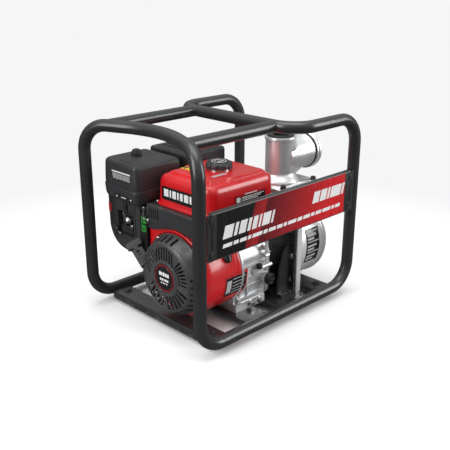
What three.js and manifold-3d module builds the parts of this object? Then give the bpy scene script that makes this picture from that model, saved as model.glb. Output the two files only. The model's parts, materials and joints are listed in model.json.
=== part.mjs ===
// A three-inch engine-driven water pump in an open tube frame, in millimetres, +Z up.
// The origin is on the floor under the middle of the frame. +X runs along the crankshaft from
// the pull starter to the pump, and the side panel is on the -Y side.
import * as THREE from "three";
import { mergeVertices } from "three/addons/utils/BufferGeometryUtils.js";
import Module from "manifold-3d";

const wasm = await Module();
wasm.setup();

const GAP = 0.3; // clearance between pieces that touch
const DEG = Math.PI / 180;

// Frame
const TUBE_R = 14;
const POST_X = 250.6;
const RAIL_Y = 189;
const BOTTOM_Z = 26;
const TOP_Z = 446;
const BEND_R = 60;
const SPLICE_Z = TOP_Z - BEND_R - 20; // where a top bar is butted to a post
const TOP_RAIL_Y = 129;
const CROSS_BAR_X = 32;
const V_ANGLE = 22 * DEG; // slant of the engine end bar from straight across
const V_BEND_R = 226;
const BASE_Z = 26; // top of the cross members, where the engine stands
const SHEET = 2;
const CHANNEL_Y = RAIL_Y - TUBE_R - GAP;
const FOOT = { x: 180, y: 140, r: 17 };
const PANEL = { x: 240, front: -200.2, low: 222, high: 322, lip: 12, sheet: 1.5 };

// Crankshaft line, which the starter, engine and pump share
const CRANK_Y = -38;
const CRANK_Z = 132;
const CYLINDER_TILT = 25 * DEG;
const CYLINDER_X = -20;
const BORE_R = 34;
const CRANK_THROW = 27;
const DECK = 70; // from the crank line to the cylinder's foot
const BARREL_END = 140; // from the crank line to the cylinder's top
const HEAD_END = 172;
const BLOCK_HALF = 52; // half the width of the crankcase's deck
const FIN_HALF = 46;
const PISTON = { bottom: 44, length: 40, crown: 8, pinR: 8 }; // at bottom dead centre
const PLUG_ALONG = 158; // the spark plug's line, from the crank line
const CRANKCASE = { x0: -77, x1: 38, near: -112, far: 48.7 };
const COVER_X = 47; // pump side face of the engine
const SHROUD = { x0: -178, x1: -77.3, r: 100, wall: 2.5, left: 62, top: 238 };
const RECOIL = { face: -216, rim: -182.5, faceR: 78, rimR: 93, wall: 2.5 };
const REEL_R = 42; // where the rope lies on the reel
const ROPE_R = 2.2;
const PULL_TURN = 41 * DEG; // the rope's slope as it leaves the reel
const PULL = new THREE.Vector3(0, Math.cos(PULL_TURN), Math.sin(PULL_TURN));
const REEL_X = -205;
const ROPE_X = -209;
const GRIP_ROLL = 34 * DEG; // how far the handle and its guide are turned about the rope
const GUIDE_END = 102; // end of the rope guide, along the rope from the reel
const GUIDE = { width: 24, height: 18 };
const GRIP = { stem: 12, bar: 17, height: 11, length: 37 };
const OIL = { x: 27, z: 84 }; // filler and dipstick
const DRAIN_BOLT = { x: -29, z: 36 };
const SWITCH = { x: -113, angle: 154 * DEG };

// Upper engine
const TANK = { x0: -164, x1: 42, y0: -130, y1: 50, low: 262, seam: 279, high: 350 };
const CAP = { x: -55, y: -43, r: 31 };
const TANK_WALL = 1.6;
const NECK_TOP = 356;
const AIR = { x0: -213, x1: -76, y0: 56, y1: 190, low: 272, split: 304, high: 365 };
const KNOB = { x: -143, y: 140 };
const CONTROL = { x0: -190, x1: -152, low: 141, high: 269 };
const LEVER_X = -193; // plane of the levers on the control housing
const CARB = { x: -130, y: 112, z: 236, boreR: 13 };
const SHIELD = { x0: -63, x1: 67, y0: 57, y1: 194, low: 264, high: 365 };

// Pump
const PUMP = { plate: 105, drum: 122, end: 232, r: 104, wall: 8 };
const PUMP_HALF_Y = 109; // half the width of the pump's foot plate
const FOOT_Z = BASE_Z + GAP;
const OUTLET = { x: 158, z: 341, flangeZ: 281, top: 391, r: 36, branchR: 42, boreR: 30 };
const PORT_R = 47; // outside of a three-inch coupling
const PORT_BORE = 38;
const PORT_END = 264.5;
const INLET_Z = 150;
const FLAP_X = 220;
const DRAIN_Z = CRANK_Z - 82;
const SHAFT_R = 12.5;

const colours = {
  frame: { color: 0x3a3c3e, roughness: 0.38, metalness: 0.5 },
  panel: { color: 0xb01018, roughness: 0.35, metalness: 0.2 },
  red: { color: 0xd01a20, roughness: 0.25, metalness: 0.1 },
  plastic: { color: 0x2a2b2d, roughness: 0.55, metalness: 0 },
  black: { color: 0x161618, roughness: 0.6, metalness: 0.1 },
  rubber: { color: 0x141414, roughness: 0.8, metalness: 0 },
  cast: { color: 0xb9bbbd, roughness: 0.42, metalness: 0.8 },
  bright: { color: 0xd8dadc, roughness: 0.22, metalness: 0.95 },
  steel: { color: 0x9a9c9e, roughness: 0.3, metalness: 1 },
  iron: { color: 0x4a4a4c, roughness: 0.6, metalness: 0.7 },
  foam: { color: 0x6d5c3a, roughness: 0.95, metalness: 0 },
  rope: { color: 0x202020, roughness: 0.9, metalness: 0 },
};
const materials = Object.fromEntries(
  Object.entries(colours).map(([slot, look]) => [slot, new THREE.MeshStandardMaterial(look)]),
);

const pump = new THREE.Group();

// ---------------------------------------------------------------- solids

// A closed geometry as a manifold-3d solid.
function solid(geometry) {
  const bare = geometry.index ? geometry.toNonIndexed() : geometry.clone();
  bare.deleteAttribute("normal");
  bare.deleteAttribute("uv");
  const merged = mergeVertices(bare, 1e-4);
  return new wasm.Manifold(
    new wasm.Mesh({
      numProp: 3,
      vertProperties: merged.attributes.position.array,
      triVerts: new Uint32Array(merged.index.array),
    }),
  );
}

// A manifold-3d solid as a geometry that three.js can draw.
function geometryOf(made) {
  const mesh = made.getMesh();
  const vertices = new Float32Array(mesh.numVert * 3);
  for (let i = 0; i < mesh.numVert; i++) {
    const from = i * mesh.numProp;
    vertices.set(mesh.vertProperties.subarray(from, from + 3), i * 3);
  }
  const geometry = new THREE.BufferGeometry()
    .setAttribute("position", new THREE.BufferAttribute(vertices, 3))
    .setIndex(new THREE.BufferAttribute(mesh.triVerts, 1));
  geometry.computeVertexNormals();
  return geometry;
}

const join = (...parts) => parts.reduce((sum, part) => sum.add(part));
const cut = (from, ...tools) => tools.reduce((rest, tool) => rest.subtract(tool), from);

// Adds one named node to the pump.
function node(name, look, made) {
  const geometry = made.isBufferGeometry ? made : geometryOf(made);
  const mesh = new THREE.Mesh(geometry, materials[look]);
  mesh.name = name;
  pump.add(mesh);
  return mesh;
}

// A box between two corners.
function box(x0, x1, y0, y1, z0, z1) {
  const geometry = new THREE.BoxGeometry(x1 - x0, y1 - y0, z1 - z0);
  geometry.translate((x0 + x1) / 2, (y0 + y1) / 2, (z0 + z1) / 2);
  return solid(geometry);
}

// Turns a geometry made along +Z so that it runs along +X, with its plan's x on Y and y on Z.
function alongX(geometry) {
  geometry.rotateX(Math.PI / 2);
  return geometry.rotateZ(Math.PI / 2);
}

// A round bar or cone along X from x0 to x1, centred on (y, z).
function barX(x0, x1, y, z, r0, r1 = r0, sides = 24) {
  const geometry = new THREE.CylinderGeometry(r1, r0, x1 - x0, sides);
  geometry.rotateZ(-Math.PI / 2);
  geometry.translate((x0 + x1) / 2, y, z);
  return solid(geometry);
}

function barY(y0, y1, x, z, r0, r1 = r0, sides = 16) {
  const geometry = new THREE.CylinderGeometry(r1, r0, y1 - y0, sides);
  geometry.translate(x, (y0 + y1) / 2, z);
  return solid(geometry);
}

function barZ(z0, z1, x, y, r0, r1 = r0, sides = 24) {
  const geometry = new THREE.CylinderGeometry(r1, r0, z1 - z0, sides);
  geometry.rotateX(Math.PI / 2);
  geometry.translate(x, y, (z0 + z1) / 2);
  return solid(geometry);
}

// A solid of revolution about a line along X through (y, z); the profile is [x, radius] pairs.
function latheX(profile, y = CRANK_Y, z = CRANK_Z, sides = 24) {
  const points = profile.map(([x, r]) => new THREE.Vector2(r, x));
  points.push(points[0].clone());
  const geometry = new THREE.LatheGeometry(points, sides);
  geometry.rotateZ(-Math.PI / 2);
  geometry.translate(0, y, z);
  const made = solid(geometry);
  return made.volume() < 0 ? solid(flipped(geometry)) : made;
}

// The same surface with every face turned round.
function flipped(geometry) {
  const bare = geometry.toNonIndexed();
  const position = bare.attributes.position;
  for (let i = 0; i < position.count; i += 3) {
    const second = new THREE.Vector3().fromBufferAttribute(position, i + 1);
    const third = new THREE.Vector3().fromBufferAttribute(position, i + 2);
    position.setXYZ(i + 1, third.x, third.y, third.z);
    position.setXYZ(i + 2, second.x, second.y, second.z);
  }
  return bare;
}

// A rounded rectangle as a shape, between two corners.
function roundedShape(u0, u1, v0, v1, r) {
  const shape = new THREE.Shape();
  shape.moveTo(u0 + r, v0);
  shape.lineTo(u1 - r, v0);
  shape.absarc(u1 - r, v0 + r, r, -Math.PI / 2, 0);
  shape.lineTo(u1, v1 - r);
  shape.absarc(u1 - r, v1 - r, r, 0, Math.PI / 2);
  shape.lineTo(u0 + r, v1);
  shape.absarc(u0 + r, v1 - r, r, Math.PI / 2, Math.PI);
  shape.lineTo(u0, v0 + r);
  shape.absarc(u0 + r, v0 + r, r, Math.PI, 1.5 * Math.PI);
  return shape;
}

// A shape with straight sides through the given corners.
const polygon = (corners) => new THREE.Shape(corners.map(([u, v]) => new THREE.Vector2(u, v)));

// A plan in X and Y extruded up from z0 to z1. A crown of that height rounds its upper edge.
function plan(shape, z0, z1, crown = 0, curveSegments = 2) {
  const geometry = new THREE.ExtrudeGeometry(shape, {
    depth: z1 - z0 - crown,
    bevelEnabled: crown > 0,
    bevelThickness: crown,
    bevelSize: crown,
    bevelOffset: -crown,
    bevelSegments: 2,
    curveSegments,
  });
  geometry.translate(0, 0, z0);
  const made = solid(geometry);
  if (!crown) return made;
  return cut(made, box(-400, 400, -400, 400, z0 - 2 * crown, z0)); // the lower edge stays square
}

// A profile in Y and Z extruded along X from x0 to x1.
function profileX(shape, x0, x1, curveSegments = 4) {
  const geometry = new THREE.ExtrudeGeometry(shape, {
    depth: x1 - x0,
    bevelEnabled: false,
    curveSegments,
  });
  alongX(geometry);
  geometry.translate(x0, 0, 0);
  return solid(geometry);
}

// A path through given stations, with a ring of the tube at each of them.
class StationPath extends THREE.Curve {
  constructor(stations) {
    super();
    this.stations = stations;
  }
  getPoint(t) {
    const last = this.stations.length - 1;
    const at = Math.min(Math.floor(t * last + 1e-9), last - 1);
    return this.stations[at].clone().lerp(this.stations[at + 1], t * last - at);
  }
  getPointAt(u) {
    return this.getPoint(u);
  }
  getTangentAt(u) {
    const last = this.stations.length - 1;
    const at = Math.round(u * last);
    const direction = new THREE.Vector3();
    for (const i of [at - 1, at]) {
      if (i < 0 || i >= last) continue;
      direction.add(this.stations[i + 1].clone().sub(this.stations[i]).normalize());
    }
    return direction.normalize();
  }
}

// A round tube, drawn solid, along a list of stations.
function tube(stations, radius = TUBE_R, sides = 12) {
  const circle = new THREE.Shape();
  circle.absarc(0, 0, radius, 0, 2 * Math.PI);
  const geometry = new THREE.ExtrudeGeometry(circle, {
    steps: stations.length - 1,
    curveSegments: sides / 2, // three.js doubles it on a full circle
    extrudePath: new StationPath(stations),
  });
  return solid(geometry);
}

// The stations of a bend at a corner, between the straight runs from before to after.
function bend(before, corner, after, radius, segments = 4) {
  const inward = before.clone().sub(corner).normalize();
  const onward = after.clone().sub(corner).normalize();
  const turn = Math.PI - inward.angleTo(onward);
  const tangent = radius * Math.tan(turn / 2);
  const start = corner.clone().addScaledVector(inward, tangent);
  const middle = inward.clone().add(onward).normalize();
  const centre = corner.clone().addScaledVector(middle, radius / Math.cos(turn / 2));
  const spoke = start.clone().sub(centre);
  const axis = inward.clone().negate().cross(onward).normalize();
  return Array.from({ length: segments + 1 }, (_, i) =>
    spoke.clone().applyAxisAngle(axis, (turn * i) / segments).add(centre),
  );
}

const at = (x, y, z) => new THREE.Vector3(x, y, z);

// ---------------------------------------------------------------- frame

function sideTube(y) {
  const top = SPLICE_Z - GAP / 2;
  const corners = [
    at(-POST_X, y, top),
    at(-POST_X, y, BOTTOM_Z),
    at(POST_X, y, BOTTOM_Z),
    at(POST_X, y, top),
  ];
  return tube([
    corners[0],
    ...bend(corners[0], corners[1], corners[2], BEND_R),
    ...bend(corners[1], corners[2], corners[3], BEND_R),
    corners[3],
  ]);
}

// Mirrors stations to the far side and runs on along them in reverse.
function mirrored(stations) {
  const back = stations
    .map((p) => at(p.x, -p.y, p.z))
    .reverse()
    .filter((p) => Math.abs(p.y) > 1e-6);
  return [...stations, ...back];
}

function engineEndStations() {
  const start = at(-POST_X, -RAIL_Y, SPLICE_Z + GAP / 2);
  const corner = at(-POST_X, -RAIL_Y, TOP_Z);
  const apex = at(-POST_X + RAIL_Y * Math.tan(V_ANGLE), 0, TOP_Z);
  const far = at(-POST_X, RAIL_Y, TOP_Z);
  const apexBend = bend(corner, apex, far, V_BEND_R, 6);
  return mirrored([start, ...bend(start, corner, apex, BEND_R), ...apexBend.slice(0, 4)]);
}

function pumpEndStations() {
  const start = at(POST_X, -RAIL_Y, SPLICE_Z + GAP / 2);
  const corner = at(POST_X, -RAIL_Y, TOP_Z);
  const inner = at(CROSS_BAR_X, -RAIL_Y, TOP_Z);
  const far = at(CROSS_BAR_X, RAIL_Y, TOP_Z);
  return mirrored([
    start,
    ...bend(start, corner, inner, BEND_R),
    ...bend(corner, inner, far, RAIL_Y - TOP_RAIL_Y),
  ]);
}

// A folded channel across the frame, its flanges down, between x0 and x1.
function channel(x0, x1, depth) {
  const top = BASE_Z;
  const corners = [
    [x0, top - depth],
    [x0 + SHEET, top - depth],
    [x0 + SHEET, top - SHEET],
    [x1 - SHEET, top - SHEET],
    [x1 - SHEET, top - depth],
    [x1, top - depth],
    [x1, top],
    [x0, top],
  ];
  const geometry = new THREE.ExtrudeGeometry(polygon(corners), {
    depth: 2 * CHANNEL_Y,
    bevelEnabled: false,
  });
  geometry.rotateX(Math.PI / 2);
  geometry.translate(0, CHANNEL_Y, 0);
  return solid(geometry);
}

function foot(x, y) {
  const underChannel = BASE_Z - SHEET - GAP;
  return join(barZ(0, 9, x, y, FOOT.r - 3, FOOT.r), barZ(9, underChannel, x, y, FOOT.r));
}

function sidePanel() {
  const { x, front, low, high, lip, sheet } = PANEL;
  const corners = [
    [front, low],
    [front + lip, low],
    [front + lip, low + sheet],
    [front + sheet, low + sheet],
    [front + sheet, high - sheet],
    [front + lip, high - sheet],
    [front + lip, high],
    [front, high],
  ];
  const folded = profileX(polygon(corners), -x, x);
  const lips = [-1, 1].map((side) => {
    const end = side * x;
    const inner = end - side * 12;
    const [x0, x1] = side < 0 ? [end, inner] : [inner, end];
    return box(x0, x1, front + sheet, front + lip + 1, low - 1, high + 1);
  });
  return cut(folded, ...lips);
}

function frame() {
  node("near_side_tube", "frame", sideTube(-RAIL_Y));
  node("far_side_tube", "frame", sideTube(RAIL_Y));
  const engineEnd = engineEndStations();
  const pumpEnd = pumpEndStations();
  node("engine_end_bar", "frame", tube(engineEnd));
  node("pump_end_bar", "frame", tube(pumpEnd));
  const clearance = tube(engineEnd, TUBE_R + GAP);
  for (const [name, y] of [["near_top_rail", -TOP_RAIL_Y], ["far_top_rail", TOP_RAIL_Y]]) {
    const end = CROSS_BAR_X - TUBE_R - 2;
    const straight = barX(-POST_X + 20, end, y, TOP_Z, TUBE_R, TUBE_R, 12);
    const pieces = cut(straight, clearance).decompose();
    node(name, "frame", pieces.reduce((a, b) => (a.volume() > b.volume() ? a : b)));
  }
  node("engine_end_channel", "frame", channel(-204, -155, 18));
  node("pump_end_channel", "frame", channel(155, 207, 18));
  node("engine_base_plate", "frame", channel(-93, -20, 12));
  node("middle_base_plate", "frame", channel(17.6, 114, 12));
  const places = [[-1, -1], [1, -1], [-1, 1], [1, 1]];
  places.forEach(([sx, sy], i) => {
    node(`rubber_foot_${i + 1}`, "rubber", foot(sx * FOOT.x, sy * FOOT.y));
  });
  node("side_panel", "panel", sidePanel());
}

// ---------------------------------------------------------------- engine block

// Places a solid made in the cylinder's own frame, where Y runs from the crank to the head.
function tilted(made) {
  const geometry = geometryOf(made);
  geometry.rotateX(CYLINDER_TILT);
  geometry.translate(0, CRANK_Y, CRANK_Z);
  return solid(geometry);
}

// Half a tilted cylinder block's deck, as corners in Y and Z.
function deckCorner(along, across) {
  const c = Math.cos(CYLINDER_TILT);
  const s = Math.sin(CYLINDER_TILT);
  return [CRANK_Y + along * c - across * s, CRANK_Z + along * s + across * c];
}

function crankcaseOutline(inset = 0) {
  const near = CRANKCASE.near + inset;
  return polygon([
    [near, BASE_Z + 14 + inset],
    [CRANKCASE.far - inset, BASE_Z + 14 + inset],
    deckCorner(DECK - inset, -BLOCK_HALF + inset),
    deckCorner(DECK - inset, BLOCK_HALF - inset),
    [-48, 207 - inset],
    [-92, 182 - inset],
    [near, 145 - inset],
  ]);
}

function crankcase() {
  const { x0, x1, near } = CRANKCASE;
  const body = profileX(crankcaseOutline(), x0, x1);
  const sole = box(x0, 19, -121, 62, BASE_Z + GAP, BASE_Z + 20);
  const chamber = barX(x0 + 8, x1 + 1, CRANK_Y, CRANK_Z, 62, 62, 20);
  const bearing = barX(x0 - 1, x0 + 9, CRANK_Y, CRANK_Z, 14);
  const bore = tilted(barY(0, DECK + 1, CYLINDER_X, 0, BORE_R + 1, BORE_R + 1, 20));
  const ledges = [168, 150].map((z) => box(x0 + 4, x1 - 6, near - 4, near + 6, z - 30, z - 26));
  const ribs = [-60, -34, -8].map((x) => box(x, x + 4, near - 3, near + 6, BASE_Z + 16, 120));
  const filler = barY(near - 12, near + 2, OIL.x, OIL.z, 13, 13, 14);
  const fillerHole = barY(near - 13, near + 30, OIL.x, OIL.z, 8.3, 8.3, 12);
  const whole = join(body, sole, filler, ...ledges, ...ribs);
  return cut(whole, chamber, bearing, bore, fillerHole);
}

function crankcaseCover() {
  const { x1 } = CRANKCASE;
  const plate = profileX(crankcaseOutline(2), x1 + GAP, COVER_X);
  const shaftHole = barX(x1 - 1, COVER_X + 1, CRANK_Y, CRANK_Z, 14.5);
  return cut(plate, shaftHole);
}

function cylinder() {
  const half = FIN_HALF;
  const barrel = barY(DECK + GAP, BARREL_END, CYLINDER_X, 0, BORE_R + 8, BORE_R + 8, 16);
  const foot = box(CYLINDER_X - half, CYLINDER_X + half, DECK + GAP, DECK + 6, -half, half);
  const fins = Array.from({ length: 5 }, (_, i) => {
    const y = DECK + 15 + i * 11;
    return box(CYLINDER_X - half, CYLINDER_X + half, y, y + 2.6, -half, half);
  });
  const top = box(CYLINDER_X - half, CYLINDER_X + half, BARREL_END - 5, BARREL_END, -half, half);
  const bore = barY(DECK - 1, BARREL_END + 1, CYLINDER_X, 0, BORE_R, BORE_R, 20);
  return tilted(cut(join(barrel, foot, ...fins, top), bore));
}

function cylinderHead() {
  const half = FIN_HALF;
  const core = box(CYLINDER_X - 36, CYLINDER_X + 36, BARREL_END + GAP, HEAD_END, -38, 38);
  const fins = Array.from({ length: 3 }, (_, i) => {
    const y = BARREL_END + GAP + i * 10;
    return box(CYLINDER_X - half, CYLINDER_X + half, y, y + 3, -half, half);
  });
  const chamber = barY(BARREL_END - 1, BARREL_END + 6, CYLINDER_X, 0, 30);
  const plugHole = plugWell(9.5, 32);
  return tilted(cut(join(core, ...fins), chamber, plugHole));
}

// The well the spark plug screws into, in the cylinder's frame, from a depth outwards.
function plugWell(radius, depth) {
  const length = 42;
  const geometry = new THREE.CylinderGeometry(radius, radius, length, 12);
  geometry.rotateX(Math.PI / 2);
  geometry.translate(CYLINDER_X, PLUG_ALONG, -depth - length / 2);
  return solid(geometry);
}

function rockerCover() {
  const shape = roundedShape(CYLINDER_X - 40, CYLINDER_X + 40, -42, 42, 10);
  const outer = plan(shape, 0, 26, 6, 2);
  const inner = plan(roundedShape(CYLINDER_X - 37, CYLINDER_X + 37, -39, 39, 8), -1, 22, 4, 2);
  const geometry = geometryOf(cut(outer, inner));
  geometry.rotateX(-Math.PI / 2);
  geometry.translate(0, HEAD_END + GAP, 0);
  return tilted(solid(geometry));
}

// The boot over the spark plug, which points down and back from the head.
function sparkPlugCap() {
  const boot = new THREE.CylinderGeometry(9, 8, 34, 12);
  boot.rotateX(Math.PI / 2);
  boot.translate(CYLINDER_X, PLUG_ALONG, -50);
  const elbow = new THREE.CylinderGeometry(6, 6, 26, 10);
  elbow.rotateZ(Math.PI / 2);
  elbow.translate(CYLINDER_X - 14, PLUG_ALONG, -62);
  return tilted(join(solid(boot), solid(elbow)));
}

function piston() {
  const { bottom, length, crown, pinR } = PISTON;
  const outerR = BORE_R - 0.8;
  const innerR = BORE_R - 5;
  const skirt = barY(bottom, bottom + length, CYLINDER_X, 0, outerR, outerR, 20);
  const hollow = barY(bottom - 1, bottom + length - crown, CYLINDER_X, 0, innerR, innerR, 16);
  const pinHalf = innerR + 1;
  const pin = barX(CYLINDER_X - pinHalf, CYLINDER_X + pinHalf, bottom + length / 2, 0, pinR, pinR, 12);
  return tilted(join(cut(skirt, hollow), pin));
}

// ---------------------------------------------------------------- rotor

function crankshaft() {
  const journals = join(
    barX(-158, CYLINDER_X - 26, CRANK_Y, CRANK_Z, SHAFT_R, SHAFT_R, 20),
    barX(CYLINDER_X + 26, 138, CRANK_Y, CRANK_Z, SHAFT_R, SHAFT_R, 20),
  );
  const webs = [-28, 16].map((x) =>
    barX(CYLINDER_X + x, CYLINDER_X + x + 12, CRANK_Y, CRANK_Z, 39, 39, 20),
  );
  const pinY = CRANK_Y - CRANK_THROW * Math.cos(CYLINDER_TILT);
  const pinZ = CRANK_Z - CRANK_THROW * Math.sin(CYLINDER_TILT);
  const pin = barX(CYLINDER_X - 17, CYLINDER_X + 17, pinY, pinZ, 10, 10, 16);
  return join(journals, ...webs, pin);
}

function flywheel() {
  const disc = latheX([[-150, 13], [-128, 13], [-128, 26], [-120, 60], [-112, 78], [-124, 80],
    [-134, 58], [-150, 30]]);
  const blades = Array.from({ length: 8 }, (_, i) => {
    const blade = new THREE.BoxGeometry(26, 3, 30);
    blade.translate(-135, 0, 63);
    blade.rotateX((i * Math.PI) / 4);
    blade.translate(0, CRANK_Y, CRANK_Z);
    return solid(blade);
  });
  return join(disc, ...blades);
}

function starterCup() {
  return latheX([[-186, 34], [-154, 34], [-154, 13], [-151, 13], [-151, 38], [-186, 38]]);
}

function impeller() {
  const hub = latheX([[112, 13], [141, 13], [141, 17], [118, 22], [116, 68], [112, 68]], CRANK_Y);
  const vanes = Array.from({ length: 5 }, (_, i) => {
    const shape = new THREE.Shape();
    shape.absarc(0, 44, 30, -Math.PI / 2, Math.PI / 5, false);
    shape.absarc(0, 44, 25, Math.PI / 5, -Math.PI / 2, true);
    const vane = alongX(
      new THREE.ExtrudeGeometry(shape, { depth: 20, bevelEnabled: false, curveSegments: 2 }),
    );
    vane.translate(115, 0, 0);
    vane.rotateX((i * 2 * Math.PI) / 5);
    vane.translate(0, CRANK_Y, CRANK_Z);
    return solid(vane);
  });
  return join(hub, ...vanes);
}

// ---------------------------------------------------------------- shroud and pull starter

function shroudOutline(inset) {
  const r = SHROUD.r - inset;
  const shape = new THREE.Shape();
  const leave = 62 * DEG; // where the straight lower edge leaves the round
  shape.absarc(CRANK_Y, CRANK_Z, r, Math.PI / 2, 2 * Math.PI - leave);
  shape.lineTo(SHROUD.left - inset, CRANK_Z - 62 + inset);
  shape.lineTo(SHROUD.left - inset, SHROUD.top - inset);
  shape.lineTo(CRANK_Y, SHROUD.top - inset);
  return shape;
}

function blowerHousing() {
  const { x0, x1, wall } = SHROUD;
  const outer = profileX(shroudOutline(0), x0, x1, 10);
  const inner = profileX(shroudOutline(wall), x0 + wall, x1 + 1, 10);
  const intake = barX(x0 - 9, x0 + 9, CRANK_Y, CRANK_Z, 84, 84, 24);
  const lip = latheX([[x0 - 5, 95], [x0 - 5, 99], [x0 + 1, 99.5], [x0 + 1, 95]]);
  return join(cut(outer, inner, intake), cut(lip, box(x0 - 9, x0 + 9, -300, 300, 0, 90)));
}

function recoilCover() {
  const { face, rim, faceR, rimR, wall } = RECOIL;
  const shell = latheX([
    [rim, rimR], [rim + 2, rimR], [rim + 2, rimR - wall], [face + 12, faceR + 2],
    [face + wall, faceR - 4], [face + wall, 8], [face, 8], [face, faceR - 3], [face + 4, faceR],
    [face + 10, faceR + 4.5],
  ]);
  const post = barX(face + 1, -187, CRANK_Y, CRANK_Z, 9, 9, 16);
  const slots = Array.from({ length: 8 }, (_, i) => {
    const slot = new THREE.BoxGeometry(16, 16, 24);
    slot.translate(-199, 0, 86);
    slot.rotateX(i * 45 * DEG);
    slot.translate(0, CRANK_Y, CRANK_Z);
    return solid(slot);
  });
  const grille = Array.from({ length: 4 }, (_, i) => {
    const slot = new THREE.BoxGeometry(8, 10, 18);
    slot.translate(face, 0, 60);
    slot.rotateX(i * 90 * DEG);
    slot.translate(0, CRANK_Y, CRANK_Z);
    return solid(slot);
  });
  return cut(join(cut(shell, ...slots, ...grille), post, ropeGuide()), ropeBar(ROPE_R + 2, 20, 140));
}

// The rope's line: it leaves the reel square to a radius and runs along PULL.
function ropePoint(distance) {
  const side = at(0, PULL.z, -PULL.y).multiplyScalar(REEL_R);
  return at(ROPE_X, CRANK_Y, CRANK_Z).add(side).addScaledVector(PULL, distance);
}

// A round bar along the rope between two distances from the reel.
function ropeBar(radius, from, to, sides = 12) {
  const geometry = new THREE.CylinderGeometry(radius, radius, to - from, sides);
  geometry.rotateX(PULL_TURN);
  const middle = ropePoint((from + to) / 2);
  geometry.translate(middle.x, middle.y, middle.z);
  return solid(geometry);
}

// A block along the rope line, of the given width and height across it, rolled with the handle.
function ropeBlock(from, to, width, height) {
  const geometry = new THREE.BoxGeometry(width, to - from, height);
  geometry.rotateY(-GRIP_ROLL);
  geometry.rotateX(PULL_TURN);
  const middle = ropePoint((from + to) / 2);
  geometry.translate(middle.x, middle.y, middle.z);
  return solid(geometry);
}

// The arm on the cover that the rope runs out through.
function ropeGuide() {
  const arm = ropeBlock(64, GUIDE_END, GUIDE.width, GUIDE.height);
  const hollow = ropeBlock(50, GUIDE_END - 8, GUIDE.width - 8, GUIDE.height - 7);
  return cut(arm, hollow, barX(-240, -180, CRANK_Y, CRANK_Z, 76));
}

function starterReel() {
  const x = REEL_X;
  return latheX([
    [x - 7, 11], [x - 7, 50], [x - 4, 50], [x - 3, REEL_R - 3], [x + 3, REEL_R - 3], [x + 4, 50],
    [x + 7, 50], [x + 7, 28], [x + 15, 27], [x + 15, 11],
  ]);
}

function starterRope() {
  return ropeBar(ROPE_R, GUIDE_END - 6, GUIDE_END + 8, 8);
}

function recoilGrip() {
  const end = GUIDE_END + GRIP.stem;
  const stem = ropeBlock(GUIDE_END + 1, end, GRIP.stem, GRIP.height - 1);
  const bar = ropeBlock(end - 6, end + GRIP.bar - 6, GRIP.length, GRIP.height);
  const eye = ropeBar(ROPE_R + GAP, GUIDE_END - 2, GUIDE_END + 9, 8);
  return cut(join(stem, bar), eye);
}

// ---------------------------------------------------------------- tank, cap and trim

function fuelTank() {
  const { x0, x1, y0, y1, low, seam, high } = TANK;
  const outer = join(
    plan(roundedShape(x0, x1, y0, y1, 26), seam, high - 6, 16),
    plan(roundedShape(x0 + 18, x1 - 18, y0 + 18, y1 - 18, 30), high - 8, high, 6),
    plan(roundedShape(x0 - 5, x1 + 5, y0 - 5, y1 + 5, 28), seam - 5, seam + 1),
    plan(roundedShape(x0 + 6, x1 - 6, y0 + 6, y1 - 6, 24), low, seam),
    barZ(high - 10, NECK_TOP, CAP.x, CAP.y, 24),
  );
  const w = TANK_WALL;
  const inner = join(
    plan(roundedShape(x0 + w, x1 - w, y0 + w, y1 - w, 24), seam - 3, high - 6 - w, 15),
    plan(roundedShape(x0 + 6 + w, x1 - 6 - w, y0 + 6 + w, y1 - 6 - w, 22), low + w, seam),
    barZ(high - 30, NECK_TOP + 1, CAP.x, CAP.y, 24 - w),
  );
  return cut(outer, inner);
}

function fuelCap() {
  const { x, y, r } = CAP;
  const low = 352.5;
  const body = cut(barZ(low, 367, x, y, r, r - 2, 24), barZ(low - 1, 364, x, y, 24 + GAP));
  const grips = Array.from({ length: 6 }, (_, i) => {
    const notch = i * 60 * DEG + 30 * DEG;
    return barZ(low - 1, 368, x + (r + 4) * Math.cos(notch), y + (r + 4) * Math.sin(notch), 7, 7, 10);
  });
  return cut(join(body, barZ(366, 369, x, y, 20)), ...grips);
}

// The plastic trim under the tank, facing the starter.
function tankTrim() {
  const outline = polygon([
    [-110, 272], [58, 272], [58, 226], [46, 216], [22, 222], [-38, 236], [-98, 228], [-110, 236],
  ]);
  const panel = profileX(outline, SHROUD.x0 - GAP - 5, SHROUD.x0 - GAP);
  const shelf = box(SHROUD.x0 - 5, TANK.x0 + 5, -110, 58, 268, 272);
  const grooves = Array.from({ length: 4 }, (_, i) => {
    const y = 46 - i * 8;
    return box(SHROUD.x0 - 9, SHROUD.x0 - 3.8, y - 1.5, y + 1.5, 244, 268);
  });
  return cut(join(panel, shelf), ...grooves);
}

// ---------------------------------------------------------------- air and fuel

function airOutline(inset = 0) {
  const { x0, x1, y0, y1 } = AIR;
  const shape = new THREE.Shape();
  const r = 14 - inset * 0.5;
  shape.moveTo(x0 + inset + r, y0 + inset);
  shape.lineTo(x1 - inset, y0 + inset);
  shape.lineTo(x1 - inset, y1 - inset);
  shape.lineTo(x0 + 14 + inset + r, y1 - inset);
  shape.quadraticCurveTo(x0 + 8 + inset, y1 - inset, x0 + 6 + inset, y1 - r - inset);
  shape.quadraticCurveTo(x0 - 1 + inset, (y0 + y1) / 2 + 6, x0 + inset, y0 + r + inset);
  shape.quadraticCurveTo(x0 + inset, y0 + inset, x0 + inset + r, y0 + inset);
  return shape;
}

function airCleanerCover() {
  const outer = plan(airOutline(), AIR.split + GAP, AIR.high, 7);
  const inner = plan(airOutline(2.5), AIR.split - 1, AIR.high - 2.5, 5);
  const studHole = barZ(AIR.high - 10, AIR.high + 1, KNOB.x, KNOB.y, 4.5, 4.5, 12);
  return cut(outer, inner, studHole);
}

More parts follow.
